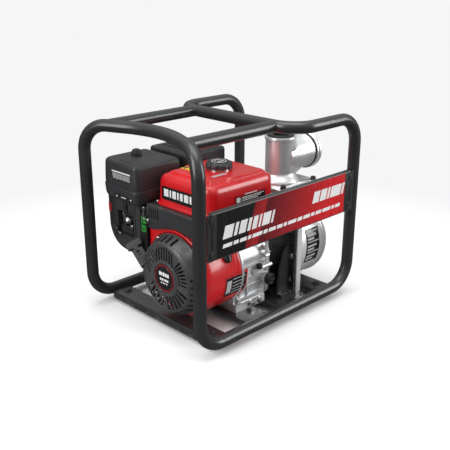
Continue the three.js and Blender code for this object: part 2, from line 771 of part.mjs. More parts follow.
function airCleanerBase() {
  const outer = plan(airOutline(0.6), AIR.low, AIR.split);
  const inner = plan(airOutline(3.2), AIR.low + 3, AIR.split + 1);
  const stud = barZ(AIR.low + 1, AIR.high + 8, KNOB.x, KNOB.y, 3, 3, 10);
  const throat = barZ(AIR.low - 1, AIR.low + 4, CARB.x, CARB.y, CARB.boreR + 1, CARB.boreR + 1, 16);
  return join(cut(outer, inner, throat), stud);
}

function filterElement() {
  const geometry = plan(roundedShape(-196, -92, 72, 176, 20), AIR.low + 3 + GAP, AIR.high - 14);
  const hollow = plan(roundedShape(-180, -108, 88, 160, 14), AIR.low, AIR.high);
  return cut(geometry, hollow);
}

function airCleanerKnob() {
  const grip = barZ(AIR.high + GAP, AIR.high + 13, KNOB.x, KNOB.y, 12, 10, 16);
  const wings = box(KNOB.x - 11, KNOB.x + 11, KNOB.y - 3, KNOB.y + 3, AIR.high + 5, AIR.high + 14);
  const hole = barZ(AIR.high - 1, AIR.high + 9, KNOB.x, KNOB.y, 3.4, 3.4, 10);
  return cut(join(grip, wings), hole);
}

// The black housing under the air cleaner, with a window for the levers.
function controlHousing() {
  const { x0, x1, low, high } = CONTROL;
  const outline = (inset) => {
    const shape = new THREE.Shape();
    shape.moveTo(76 + inset, low + inset);
    shape.lineTo(130, low + inset);
    shape.quadraticCurveTo(184 - inset, low + 2 + inset, 195 - inset, low + 51);
    shape.lineTo(197 - inset, high - inset);
    shape.lineTo(76 + inset, high - inset);
    return shape;
  };
  const shell = cut(profileX(outline(0), x0, x1), profileX(outline(2.5), x0 + 2.5, x1 + 1));
  const window = box(x0 - 1, x0 + 4, 100, 160, 180, 238);
  const topOpening = box(x1 - 18, x1 + 1, 90, 140, high - 4, high + 1);
  return cut(shell, window, topOpening);
}

function carburettor() {
  const { x, y, z, boreR } = CARB;
  const throat = barY(y - 26, y + 28, x, z, boreR + 6, boreR + 6, 16);
  const riser = barZ(z, AIR.low - GAP, x, y, boreR + 4, boreR + 4, 16);
  const flange = box(x - 20, x + 20, y - 28, y - 22, z - 22, z + 22);
  const bowl = barZ(z - 40, z - 10, x, y, 20, 20, 16);
  const intake = box(x + 4, CYLINDER_X - FIN_HALF - 2 * GAP, y - 16, y + 10, z - 10, z + 10);
  const bore = barZ(z + 4, AIR.low + 1, x, y, boreR, boreR, 14);
  return cut(join(throat, riser, flange, bowl, intake), bore);
}

// A flat lever on a round boss, turning about X; it points from (y, z) to (ty, tz).
function leverX(x, y, z, ty, tz, width, knob) {
  const reach = Math.hypot(ty - y, tz - z);
  const arm = new THREE.BoxGeometry(3, reach, width);
  arm.translate(0, reach / 2, 0);
  arm.rotateX(Math.atan2(tz - z, ty - y));
  arm.translate(x, y, z);
  return join(
    solid(arm),
    barX(x - 2, x + 2.5, y, z, width * 0.75, width * 0.75, 14),
    barX(x - 2, x + 1.5, ty, tz, knob, knob, 12),
  );
}

// A round switch on the shroud's near side, square to the surface.
function engineSwitch() {
  const knob = new THREE.CylinderGeometry(10, 11, 5, 16);
  knob.translate(0, SHROUD.r + 3, 0);
  const bar = new THREE.BoxGeometry(4, 5, 16);
  bar.translate(0, SHROUD.r + 7, 0);
  const whole = geometryOf(join(solid(knob), solid(bar)));
  whole.rotateX(SWITCH.angle);
  whole.translate(SWITCH.x, CRANK_Y, CRANK_Z);
  return whole;
}

// ---------------------------------------------------------------- exhaust

function mufflerShield() {
  const { x0, x1, y0, y1, low, high } = SHIELD;
  const outer = plan(roundedShape(x0, x1, y0, y1, 8), low, high, 5, 2);
  const inner = plan(roundedShape(x0 + 1.5, x1 - 1.5, y0 + 1.5, y1 - 1.5, 7), low - 1, high - 1.5, 4, 2);
  const louvres = Array.from({ length: 4 }, (_, i) => {
    const y = y0 + 24 + i * 24;
    return box(x0 + 22, x1 - 22, y, y + 8, high - 5, high + 1);
  });
  const pipe = barY(y1 - 5, y1 + 5, 30, 300, 12, 12, 14);
  return cut(outer, inner, ...louvres, pipe);
}

function muffler() {
  const { x0, x1, y0, y1, low, high } = SHIELD;
  const outer = plan(roundedShape(x0 + 7, x1 - 7, y0 + 9, y1 - 14, 16), low + 12, high - 12);
  const inner = plan(roundedShape(x0 + 9, x1 - 9, y0 + 11, y1 - 16, 14), low + 14, high - 14);
  const tail = barY(y1 - 16, y1 - 2, 30, 300, 9, 9, 14);
  const tailBore = barY(y1 - 20, y1, 30, 300, 7.5, 7.5, 14);
  return cut(join(cut(outer, inner), tail), tailBore);
}

// ---------------------------------------------------------------- pump

// The outline of the pump's upright plate: feet below, an arch above.
function plateOutline(inset = 0) {
  const half = PUMP_HALF_Y - inset;
  const shape = new THREE.Shape();
  const shoulder = 196;
  shape.moveTo(CRANK_Y - half, FOOT_Z);
  shape.lineTo(CRANK_Y - half + 34, FOOT_Z);
  shape.quadraticCurveTo(CRANK_Y, FOOT_Z + 26, CRANK_Y + half - 34, FOOT_Z);
  shape.lineTo(CRANK_Y + half, FOOT_Z);
  shape.lineTo(CRANK_Y + half, shoulder);
  shape.quadraticCurveTo(CRANK_Y + half, 246 - inset, CRANK_Y + half - 50, 246 - inset);
  shape.lineTo(CRANK_Y - half + 50, 246 - inset);
  shape.quadraticCurveTo(CRANK_Y - half, 246 - inset, CRANK_Y - half, shoulder);
  return shape;
}

function pumpAdapter() {
  const x0 = COVER_X + GAP;
  const x1 = PUMP.plate - GAP;
  const cone = latheX([[x0, 50], [x0, 72], [x0 + 10, 74], [x1 - 8, 96], [x1 - 1, 96], [x1 - 1, 84],
    [x1 - 12, 84], [x0 + 8, 50]], CRANK_Y, CRANK_Z, 20);
  const plate = cut(
    profileX(plateOutline(3), x1 - 9, x1),
    barX(x1 - 20, x1 + 1, CRANK_Y, CRANK_Z, 84, 84, 20),
  );
  const gussets = [-1, 1].flatMap((side) => [
    gusset(x0 + 4, x1 - 8, CRANK_Y + side * 92, 6),
    gusset(x0 + 4, x1 - 8, CRANK_Y + side * 58, 6),
  ]);
  const closing = latheX([[x0, 18], [x0, 52], [x0 + 6, 52], [x0 + 6, 18]], CRANK_Y, CRANK_Z, 20);
  return join(cone, plate, closing, ...gussets);
}

// A triangular rib between the adapter's cone and its foot.
function gusset(x0, x1, y, thick) {
  const corners = [[x0 + 6, FOOT_Z], [x1 + 2, FOOT_Z], [x1 + 2, CRANK_Z - 30], [x0, CRANK_Z - 46]];
  const geometry = new THREE.ExtrudeGeometry(polygon(corners), { depth: thick, bevelEnabled: false });
  geometry.rotateX(Math.PI / 2);
  geometry.translate(0, y + thick / 2, 0);
  return cut(solid(geometry), barX(x0 - 9, x1 + 9, CRANK_Y, CRANK_Z, 70, 90, 20));
}

function pumpCasing() {
  const { plate, drum, end, r, wall } = PUMP;
  const top = OUTLET.flangeZ - 8 - GAP;
  const back = profileX(plateOutline(), plate, drum);
  const barrel = latheX([[drum - 4, 0], [end, 0], [end, r - 14], [end - 4, r - 5], [end - 12, r],
    [drum + 10, r], [drum - 4, r + 2]], CRANK_Y, CRANK_Z, 28);
  const neck = plan(roundedShape(OUTLET.x - 50, OUTLET.x + 52, CRANK_Y - 52, CRANK_Y + 52, 16),
    CRANK_Z + 60, top - 6);
  const pad = plan(roundedShape(OUTLET.x - 52, OUTLET.x + 68, CRANK_Y - 72, CRANK_Y + 72, 18), top - 12, top);
  const chamber = barX(plate - 1, end - wall, CRANK_Y, CRANK_Z, r - wall, r - wall, 28);
  const riser = barZ(CRANK_Z, top + 1, OUTLET.x, CRANK_Y, OUTLET.boreR + 4);
  const inlet = barX(end - wall - 1, end + 1, CRANK_Y, INLET_Z, PORT_BORE);
  const drainHole = barX(end - wall - 1, end + 1, CRANK_Y, DRAIN_Z, 7, 7, 12);
  return cut(join(back, barrel, neck, pad), chamber, riser, inlet, drainHole);
}

function volute() {
  const x0 = 110;
  return latheX([[x0, 74], [x0, 90], [x0 + 40, 90], [x0 + 40, 27], [x0 + 34, 27], [x0 + 34, 74]],
    CRANK_Y, CRANK_Z, 28);
}

function mechanicalSeal() {
  return latheX([[94, 13], [94, 17], [101, 17], [101, 22], [109, 22], [109, 13]], CRANK_Y, CRANK_Z, 20);
}

// A hose coupling along X: a flange, a plain neck and a thread relief near its mouth.
function coupling(x0, z, flangeR) {
  return latheX([
    [x0, PORT_BORE], [x0, flangeR], [x0 + 6, flangeR], [x0 + 7, PORT_R - 3], [x0 + 9, PORT_R],
    [PORT_END - 3, PORT_R], [PORT_END, PORT_R - 2], [PORT_END, PORT_BORE],
  ], CRANK_Y, z, 24);
}

// The rubber flap inside the inlet, hung from a pin across its top.
function checkValve() {
  const disc = barX(FLAP_X, FLAP_X + 3, CRANK_Y, INLET_Z, PORT_BORE + 3, PORT_BORE + 3, 24);
  const weight = barX(FLAP_X - 4, FLAP_X + 0.5, CRANK_Y, INLET_Z, 26, 26, 20);
  const hinge = barY(CRANK_Y - 18, CRANK_Y + 18, FLAP_X, INLET_Z + PORT_BORE + 5, 3, 3, 10);
  const tab = box(FLAP_X, FLAP_X + 3, CRANK_Y - 16, CRANK_Y + 16, INLET_Z + 30, INLET_Z + PORT_BORE + 5);
  return join(disc, weight, hinge, tab);
}

function dischargeElbow() {
  const { x, z, flangeZ, top, r, branchR, boreR } = OUTLET;
  const branchEnd = 243;
  const flange = plan(roundedShape(x - 70, x + 70, CRANK_Y - 72, CRANK_Y + 72, 18), flangeZ - 8, flangeZ);
  const pipe = barZ(flangeZ - 4, top - 3, x, CRANK_Y, r, r, 20);
  const root = barZ(flangeZ - 2, flangeZ + 10, x, CRANK_Y, r + 8, r, 20);
  const collar = barZ(top - 7, top, x, CRANK_Y, r + 2.5, r + 2.5, 20);
  const branch = barX(x, branchEnd, CRANK_Y, z, branchR - 4, branchR, 20);
  const ball = new THREE.SphereGeometry(branchR - 1, 16, 8);
  ball.translate(x + 6, CRANK_Y, z);
  const bore = barZ(flangeZ - 10, top + 1, x, CRANK_Y, boreR, boreR, 16);
  const branchBore = barX(x, branchEnd + 1, CRANK_Y, z, boreR + 4, PORT_BORE - 2, 16);
  return cut(join(flange, pipe, root, collar, branch, solid(ball)), bore, branchBore);
}

function outletGasket() {
  return latheX([[243.3, 37], [243.3, 44.5], [246.2, 44.5], [246.2, 37]], CRANK_Y, OUTLET.z, 24);
}

// A square-headed plug; the head sits on the collar and the shank hangs in the bore.
function primingPlug() {
  const head = new THREE.BoxGeometry(34, 34, 20);
  head.rotateZ(Math.PI / 4);
  head.translate(OUTLET.x, CRANK_Y, OUTLET.top + 14);
  const rim = barZ(OUTLET.top + GAP, OUTLET.top + 5, OUTLET.x, CRANK_Y, 33, 33, 20);
  const shankR = OUTLET.boreR - 1.5;
  const shank = barZ(OUTLET.top - 16, OUTLET.top + 2, OUTLET.x, CRANK_Y, shankR, shankR, 16);
  return join(solid(head), rim, shank);
}

function drainPlug() {
  const head = barX(PUMP.end + GAP, PUMP.end + 12, CRANK_Y, DRAIN_Z, 11, 10, 6);
  return join(head, barX(PUMP.end - 10, PUMP.end + 1, CRANK_Y, DRAIN_Z, 6.4, 6.4, 12));
}

// ---------------------------------------------------------------- assembly

function engine() {
  node("crankcase", "cast", crankcase());
  node("crankcase_cover", "cast", crankcaseCover());
  node("cylinder", "cast", cylinder());
  node("cylinder_head", "cast", cylinderHead());
  node("rocker_cover", "black", rockerCover());
  node("spark_plug_cap", "rubber", sparkPlugCap());
  node("piston", "cast", piston());
  node("crankshaft", "steel", crankshaft());
  node("flywheel", "cast", flywheel());
  node("starter_cup", "steel", starterCup());
  node("blower_housing", "red", blowerHousing());
  node("recoil_cover", "plastic", recoilCover());
  node("starter_reel", "plastic", starterReel());
  node("starter_rope", "rope", starterRope());
  node("recoil_grip", "plastic", recoilGrip());
  node("fuel_tank", "red", fuelTank());
  node("fuel_cap", "plastic", fuelCap());
  node("tank_trim", "plastic", tankTrim());
  node("air_cleaner_cover", "plastic", airCleanerCover());
  node("air_cleaner_base", "plastic", airCleanerBase());
  node("air_cleaner_knob", "black", airCleanerKnob());
  node("filter_element", "foam", filterElement());
  node("control_housing", "plastic", controlHousing());
  node("carburettor", "cast", carburettor());
  node("choke_lever", "black", leverX(LEVER_X, 122, 240, 126, 256, 7, 6));
  node("fuel_valve_lever", "bright", leverX(LEVER_X, 168, 186, 150, 180, 6, 4));
  node("throttle_lever", "bright", leverX(-188, 64, 236, 64, 262, 5, 5));
  node("engine_switch", "black", engineSwitch());
  node("muffler_shield", "black", mufflerShield());
  node("muffler", "iron", muffler());
  const { near } = CRANKCASE;
  node("governor_arm", "bright", join(
    barX(4, 40, near - 9, 116, 4.5, 4.5, 12),
    box(19, 27, near - 11, near - 8, 112, 196),
    barX(16, 30, near - 9.5, 142, 5, 5, 10),
  ));
  node("oil_dipstick", "black", join(
    barY(near - 27, near - 12 - GAP, OIL.x, OIL.z, 15, 15, 14),
    barY(near - 13, near + 26, OIL.x, OIL.z, 8, 8, 12),
  ));
  node("oil_drain_bolt", "bright", barY(near - 19, near - 9 - GAP, DRAIN_BOLT.x, DRAIN_BOLT.z, 7, 7, 6));
}

function pumpEnd() {
  node("pump_adapter", "black", pumpAdapter());
  node("pump_casing", "cast", pumpCasing());
  node("volute", "iron", volute());
  node("impeller", "iron", impeller());
  node("mechanical_seal", "steel", mechanicalSeal());
  node("check_valve", "rubber", checkValve());
  node("inlet_coupling", "bright", coupling(PUMP.end + GAP, INLET_Z, 60));
  node("discharge_elbow", "bright", dischargeElbow());
  node("outlet_gasket", "rubber", outletGasket());
  node("outlet_coupling", "bright", coupling(246.5, OUTLET.z, PORT_R));
  node("priming_plug", "black", primingPlug());
  node("pump_drain_plug", "black", drainPlug());
}

frame();
engine();
pumpEnd();

export default pump;
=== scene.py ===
"""The look of a three-inch engine-driven water pump in a tube frame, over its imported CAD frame."""
import json
import math

import bmesh
import bpy
from mathutils import Matrix, Vector


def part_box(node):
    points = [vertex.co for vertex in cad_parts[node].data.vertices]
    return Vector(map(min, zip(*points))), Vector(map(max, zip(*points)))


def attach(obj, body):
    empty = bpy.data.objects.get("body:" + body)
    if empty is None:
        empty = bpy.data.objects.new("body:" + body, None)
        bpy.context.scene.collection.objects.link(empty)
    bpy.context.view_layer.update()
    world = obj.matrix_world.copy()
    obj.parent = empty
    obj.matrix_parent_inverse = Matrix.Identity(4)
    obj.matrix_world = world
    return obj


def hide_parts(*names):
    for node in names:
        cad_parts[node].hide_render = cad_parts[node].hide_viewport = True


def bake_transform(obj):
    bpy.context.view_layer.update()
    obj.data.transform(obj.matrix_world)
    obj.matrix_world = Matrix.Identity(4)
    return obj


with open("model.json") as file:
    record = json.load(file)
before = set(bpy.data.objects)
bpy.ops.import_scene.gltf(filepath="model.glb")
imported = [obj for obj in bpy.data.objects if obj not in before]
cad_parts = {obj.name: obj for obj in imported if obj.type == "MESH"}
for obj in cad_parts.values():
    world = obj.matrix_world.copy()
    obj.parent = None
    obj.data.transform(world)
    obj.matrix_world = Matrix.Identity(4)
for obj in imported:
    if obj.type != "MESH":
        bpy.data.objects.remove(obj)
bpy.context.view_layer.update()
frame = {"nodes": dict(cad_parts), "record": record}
ROOT = "pump_set"
MM = 0.001

# Sizes in millimetres, as in the CAD frame: +X along the crankshaft, +Z up, the panel on -Y.
TUBE_R = 14
POST_X = 250.6
RAIL_Y = 189
BOTTOM_Z = 26
TOP_Z = 446
BEND_R = 60
SPLICE_Z = 366
TOP_RAIL_Y = 129
CROSS_BAR_X = 32
V_ANGLE = math.radians(22)
V_BEND_R = 226
BASE_Z = 26
CRANK_Y = -38
CRANK_Z = 132
TILT = math.radians(25)
PULL_TURN = math.radians(41)
ROPE_X = -209
GRIP_ROLL = math.radians(34)
REEL_R = 42
CONTROL_FRONT_X = -190
CASE_X = (-77, 38)
DIPSTICK = (27, 84)
GOVERNOR_Y = -121
CYLINDER_X = -20
CYLINDER_HALF = 46
FIN_THICKNESS = 2.2
CARBURETTOR = (-130, 112, 236)
PUMP_PLATE_X = 105
PUMP_DRUM_X = 122
PUMP_END_X = 232
PUMP_R = 104
COVER_BOLT_R = 84
COVER_BOLT_ANGLES = range(20, 360, 40)
INLET_Z = 150
OUTLET_Z = 341
ELBOW_X = 158
PORT_END_X = 264.5


# ---------------------------------------------------------------- materials

def mix_colour(tree, factor, low, high):
    """A mix of two colours, which are tuples or sockets, by a factor socket."""
    mix = tree.nodes.new("ShaderNodeMix")
    mix.data_type = "RGBA"
    tree.links.new(factor, mix.inputs["Factor"])
    for end, value in ((mix.inputs[6], low), (mix.inputs[7], high)):
        if isinstance(value, tuple):
            end.default_value = (*value, 1)
        else:
            tree.links.new(value, end)
    return mix.outputs[2]


def noise(tree, vector, scale, detail=3.0, roughness=0.55):
    node = tree.nodes.new("ShaderNodeTexNoise")
    node.inputs["Scale"].default_value = scale
    node.inputs["Detail"].default_value = detail
    node.inputs["Roughness"].default_value = roughness
    tree.links.new(vector, node.inputs["Vector"])
    return node.outputs["Fac"]


def ramp(tree, factor, low, high, start=0.0, end=1.0):
    """Maps a factor from low..high to start..end."""
    node = tree.nodes.new("ShaderNodeMapRange")
    for key, value in (("From Min", low), ("From Max", high), ("To Min", start), ("To Max", end)):
        node.inputs[key].default_value = value
    tree.links.new(factor, node.inputs["Value"])
    return node.outputs["Result"]


def surface(name, colour, metallic=0.0, rough=0.4, mottle=0.10, spread=0.08, grain=900.0, bump=0.03,
            depth=0.0002, coat=0.0, coat_rough=0.08, wear=None, wear_from=0.56, broad=14.0,
            specular=0.5, streak=None, tint=None):
    """A procedural finish: mottled colour, uneven gloss, fine grain and worn edges."""
    material = bpy.data.materials.new(name)
    material.use_nodes = True
    tree = material.node_tree
    shader = tree.nodes["Principled BSDF"]
    coords = tree.nodes.new("ShaderNodeTexCoord").outputs["Object"]
    vector = coords
    if streak:
        mapping = tree.nodes.new("ShaderNodeMapping")
        mapping.inputs["Scale"].default_value = streak
        tree.links.new(coords, mapping.inputs["Vector"])
        vector = mapping.outputs["Vector"]
    large = noise(tree, coords, broad, 4)
    fine = noise(tree, vector, grain, 2)
    if tint:
        attribute = tree.nodes.new("ShaderNodeAttribute")
        attribute.attribute_name = tint
        dark = tree.nodes.new("ShaderNodeMix")
        dark.data_type = "RGBA"
        dark.blend_type = "MULTIPLY"
        dark.inputs["Factor"].default_value = 1.0
        tree.links.new(attribute.outputs["Color"], dark.inputs[6])
        shade = mix_colour(tree, large, (1 - mottle,) * 3, (1.0,) * 3)
        tree.links.new(shade, dark.inputs[7])
        base = dark.outputs[2]
    else:
        low = tuple(c * (1 - mottle) for c in colour)
        high = tuple(min(1.0, c * (1 + mottle)) for c in colour)
        base = mix_colour(tree, ramp(tree, large, 0.3, 0.7), low, high)
    if wear:
        edge = tree.nodes.new("ShaderNodeNewGeometry").outputs["Pointiness"]
        worn = ramp(tree, edge, wear_from, wear_from + 0.06)
        patchy = tree.nodes.new("ShaderNodeMath")
        patchy.operation = "MULTIPLY"
        tree.links.new(worn, patchy.inputs[0])
        tree.links.new(ramp(tree, noise(tree, coords, 90, 3), 0.42, 0.62), patchy.inputs[1])
        base = mix_colour(tree, patchy.outputs[0], base, wear)
    tree.links.new(base, shader.inputs["Base Color"])
    shader.inputs["Metallic"].default_value = metallic
    shader.inputs["Specular IOR Level"].default_value = specular
    shader.inputs["Coat Weight"].default_value = coat
    shader.inputs["Coat Roughness"].default_value = coat_rough
    rough_map = ramp(tree, noise(tree, vector, 60, 4), 0.3, 0.7, max(0.02, rough - spread), rough + spread)
    tree.links.new(rough_map, shader.inputs["Roughness"])
    relief = tree.nodes.new("ShaderNodeBump")
    relief.inputs["Strength"].default_value = bump
    relief.inputs["Distance"].default_value = depth
    tree.links.new(fine, relief.inputs["Height"])
    tree.links.new(relief.outputs["Normal"], shader.inputs["Normal"])
    return material


LOOKS = {
    "frame_paint": surface("frame_paint", (0.040, 0.041, 0.043), 0.4, 0.30, 0.10, 0.03, 1400, 0.15, 0.0001,
                           coat=0.35, coat_rough=0.22, wear=(0.13, 0.13, 0.135), wear_from=0.62),
    "red_paint": surface("red_paint", (0.62, 0.007, 0.011), 0.0, 0.34, 0.06, 0.015, 500, 0.02, 0.0001,
                         coat=0.55, coat_rough=0.16, wear=(0.75, 0.05, 0.05), wear_from=0.60),
    "panel_paint": surface("panel_paint", (0.036, 0.037, 0.039), 0.3, 0.34, 0.12, 0.06, 1400, 0.2, 0.0001,
                           coat=0.2, coat_rough=0.25),
    "dark_plastic": surface("dark_plastic", (0.030, 0.031, 0.033), 0.0, 0.46, 0.14, 0.07, 1100, 0.35, 0.0002,
                            wear=(0.09, 0.09, 0.095), wear_from=0.58),
    "black_plastic": surface("black_plastic", (0.012, 0.012, 0.013), 0.0, 0.42, 0.15, 0.07, 1100, 0.3, 0.0002,
                             wear=(0.06, 0.06, 0.06), wear_from=0.58),
    "black_paint": surface("black_paint", (0.020, 0.020, 0.021), 0.1, 0.5, 0.2, 0.1, 800, 0.3, 0.0002,
                           wear=(0.10, 0.10, 0.10), wear_from=0.58),
    "adapter_metal": surface("adapter_metal", (0.020, 0.020, 0.022), 0.3, 0.45, 0.2, 0.1, 600, 0.5, 0.0003,
                             wear=(0.14, 0.14, 0.15), wear_from=0.57),
    "rubber": surface("rubber", (0.013, 0.013, 0.013), 0.0, 0.7, 0.2, 0.08, 700, 0.4, 0.0003),
    "cast_aluminium": surface("cast_aluminium", (0.64, 0.65, 0.66), 0.65, 0.42, 0.08, 0.04, 420, 0.3, 0.0003,
                              wear=(0.85, 0.85, 0.86), wear_from=0.57),
    # a lighter copy of cast aluminium: its extra brightness is painted light on the pump casing
    "cast_aluminium_painted_light": surface("cast_aluminium_painted_light", (0.86, 0.87, 0.88), 0.55, 0.42, 0.04, 0.03, 420, 0.2, 0.0002),
    "cover_plastic": surface("cover_plastic", (0.060, 0.061, 0.063), 0.1, 0.34, 0.10, 0.03, 1100, 0.2, 0.0002,
                             coat=0.2, coat_rough=0.2),
    "polished_aluminium": surface("polished_aluminium", (0.88, 0.89, 0.90), 0.72, 0.34, 0.03, 0.02, 700, 0.06,
                                  0.0001, wear=(0.95, 0.95, 0.95), wear_from=0.6),
    "steel": surface("steel", (0.40, 0.41, 0.42), 1.0, 0.30, 0.12, 0.08, 300, 0.2, 0.0002,
                     streak=(0.1, 1, 1)),
    "zinc_steel": surface("zinc_steel", (0.62, 0.62, 0.60), 1.0, 0.28, 0.12, 0.1, 500, 0.2, 0.0002),
    "cast_iron": surface("cast_iron", (0.055, 0.053, 0.052), 0.6, 0.6, 0.3, 0.1, 350, 0.7, 0.0005),
    "filter_foam": surface("filter_foam", (0.16, 0.12, 0.05), 0.0, 0.95, 0.3, 0.04, 260, 0.9, 0.002),
    "rope_cord": surface("rope_cord", (0.02, 0.02, 0.02), 0.0, 0.85, 0.3, 0.05, 900, 0.8, 0.0006),
    "label_black": surface("label_black", (0.010, 0.010, 0.011), 0.0, 0.25, 0.1, 0.04, 900, 0.05, 0.0001,
                           coat=0.4),
    "label_white": surface("label_white", (0.80, 0.80, 0.80), 0.0, 0.35, 0.05, 0.04, 900, 0.05, 0.0001,
                           coat=0.3),
    "label_red": surface("label_red", (0.50, 0.010, 0.014), 0.0, 0.3, 0.08, 0.04, 900, 0.05, 0.0001,
                         coat=0.4),
    "badge_red": surface("badge_red", (0.14, 0.005, 0.008), 0.0, 0.35, 0.08, 0.04, 900, 0.05, 0.0001,
                         coat=0.2),
    "label_yellow": surface("label_yellow", (0.80, 0.50, 0.02), 0.0, 0.35, 0.08, 0.04, 900, 0.05, 0.0001),
    "label_green": surface("label_green", (0.02, 0.30, 0.03), 0.0, 0.35, 0.1, 0.04, 900, 0.05, 0.0001),
    "label_grey": surface("label_grey", (0.42, 0.42, 0.43), 0.0, 0.4, 0.1, 0.04, 900, 0.05, 0.0001),
    "panel_print": surface("panel_print", (0.5, 0.01, 0.01), 0.0, 0.3, 0.10, 0.05, 900, 0.06, 0.0001,
                           coat=0.35, coat_rough=0.12, tint="tint"),
}
# The record's slot that each extra finish belongs to.
SLOTS = {"cast_aluminium_painted_light": "cast_aluminium", "cover_plastic": "dark_plastic"}
SLOTS |= {name: "panel_paint" for name in LOOKS if name.startswith(("label",
                                                                    "badge")) or name == "panel_print"}


# ---------------------------------------------------------------- mesh tools, in millimetres

def place(axis, along, u, v):
    """A point at a distance along an axis, with (u, v) on the other two in X, Y, Z order."""
    return {"X": (along, u, v), "Y": (u, along, v), "Z": (u, v, along)}[axis]


def rounded(u0, u1, v0, v1, r, steps=6, sides=1):
    """The outline of a rounded rectangle, counter-clockwise from its lower right corner."""
    outline = []
    corners = (((u1 - r, v0 + r), -90), ((u1 - r, v1 - r), 0), ((u0 + r, v1 - r), 90),
               ((u0 + r, v0 + r), 180))
    for (cu, cv), start in corners:
        for i in range(steps + 1):
            angle = math.radians(start + 90 * i / steps)
            outline.append((cu + r * math.cos(angle), cv + r * math.sin(angle)))
    if sides == 1:
        return outline
    dense = []
    for i, (u, v) in enumerate(outline):
        nu, nv = outline[(i + 1) % len(outline)]
        parts = sides if i % (steps + 1) == steps else 1
        dense += [(u + (nu - u) * k / parts, v + (nv - v) * k / parts) for k in range(parts)]
    return dense


def circle(u, v, r, steps=32, start=0.0):
    turn = 2 * math.pi / steps
    return [(u + r * math.cos(start + i * turn), v + r * math.sin(start + i * turn)) for i in range(steps)]


def arc(u, v, r, start, end, steps=12):
    """Points on an arc, with its angles in degrees."""
    angles = [math.radians(start + (end - start) * i / steps) for i in range(steps + 1)]
    return [(u + r * math.cos(a), v + r * math.sin(a)) for a in angles]


def bend(before, corner, after, radius, steps=10):
    """Stations of a round bend at a corner."""
    before, corner, after = Vector(before), Vector(corner), Vector(after)
    inward = (before - corner).normalized()
    onward = (after - corner).normalized()
    turn = math.pi - inward.angle(onward)
    start = corner + inward * radius * math.tan(turn / 2)
    centre = corner + (inward + onward).normalized() * radius / math.cos(turn / 2)
    axis = (-inward).cross(onward).normalized()
    return [centre + Matrix.Rotation(turn * i / steps, 3, axis) @ (start - centre) for i in range(steps + 1)]


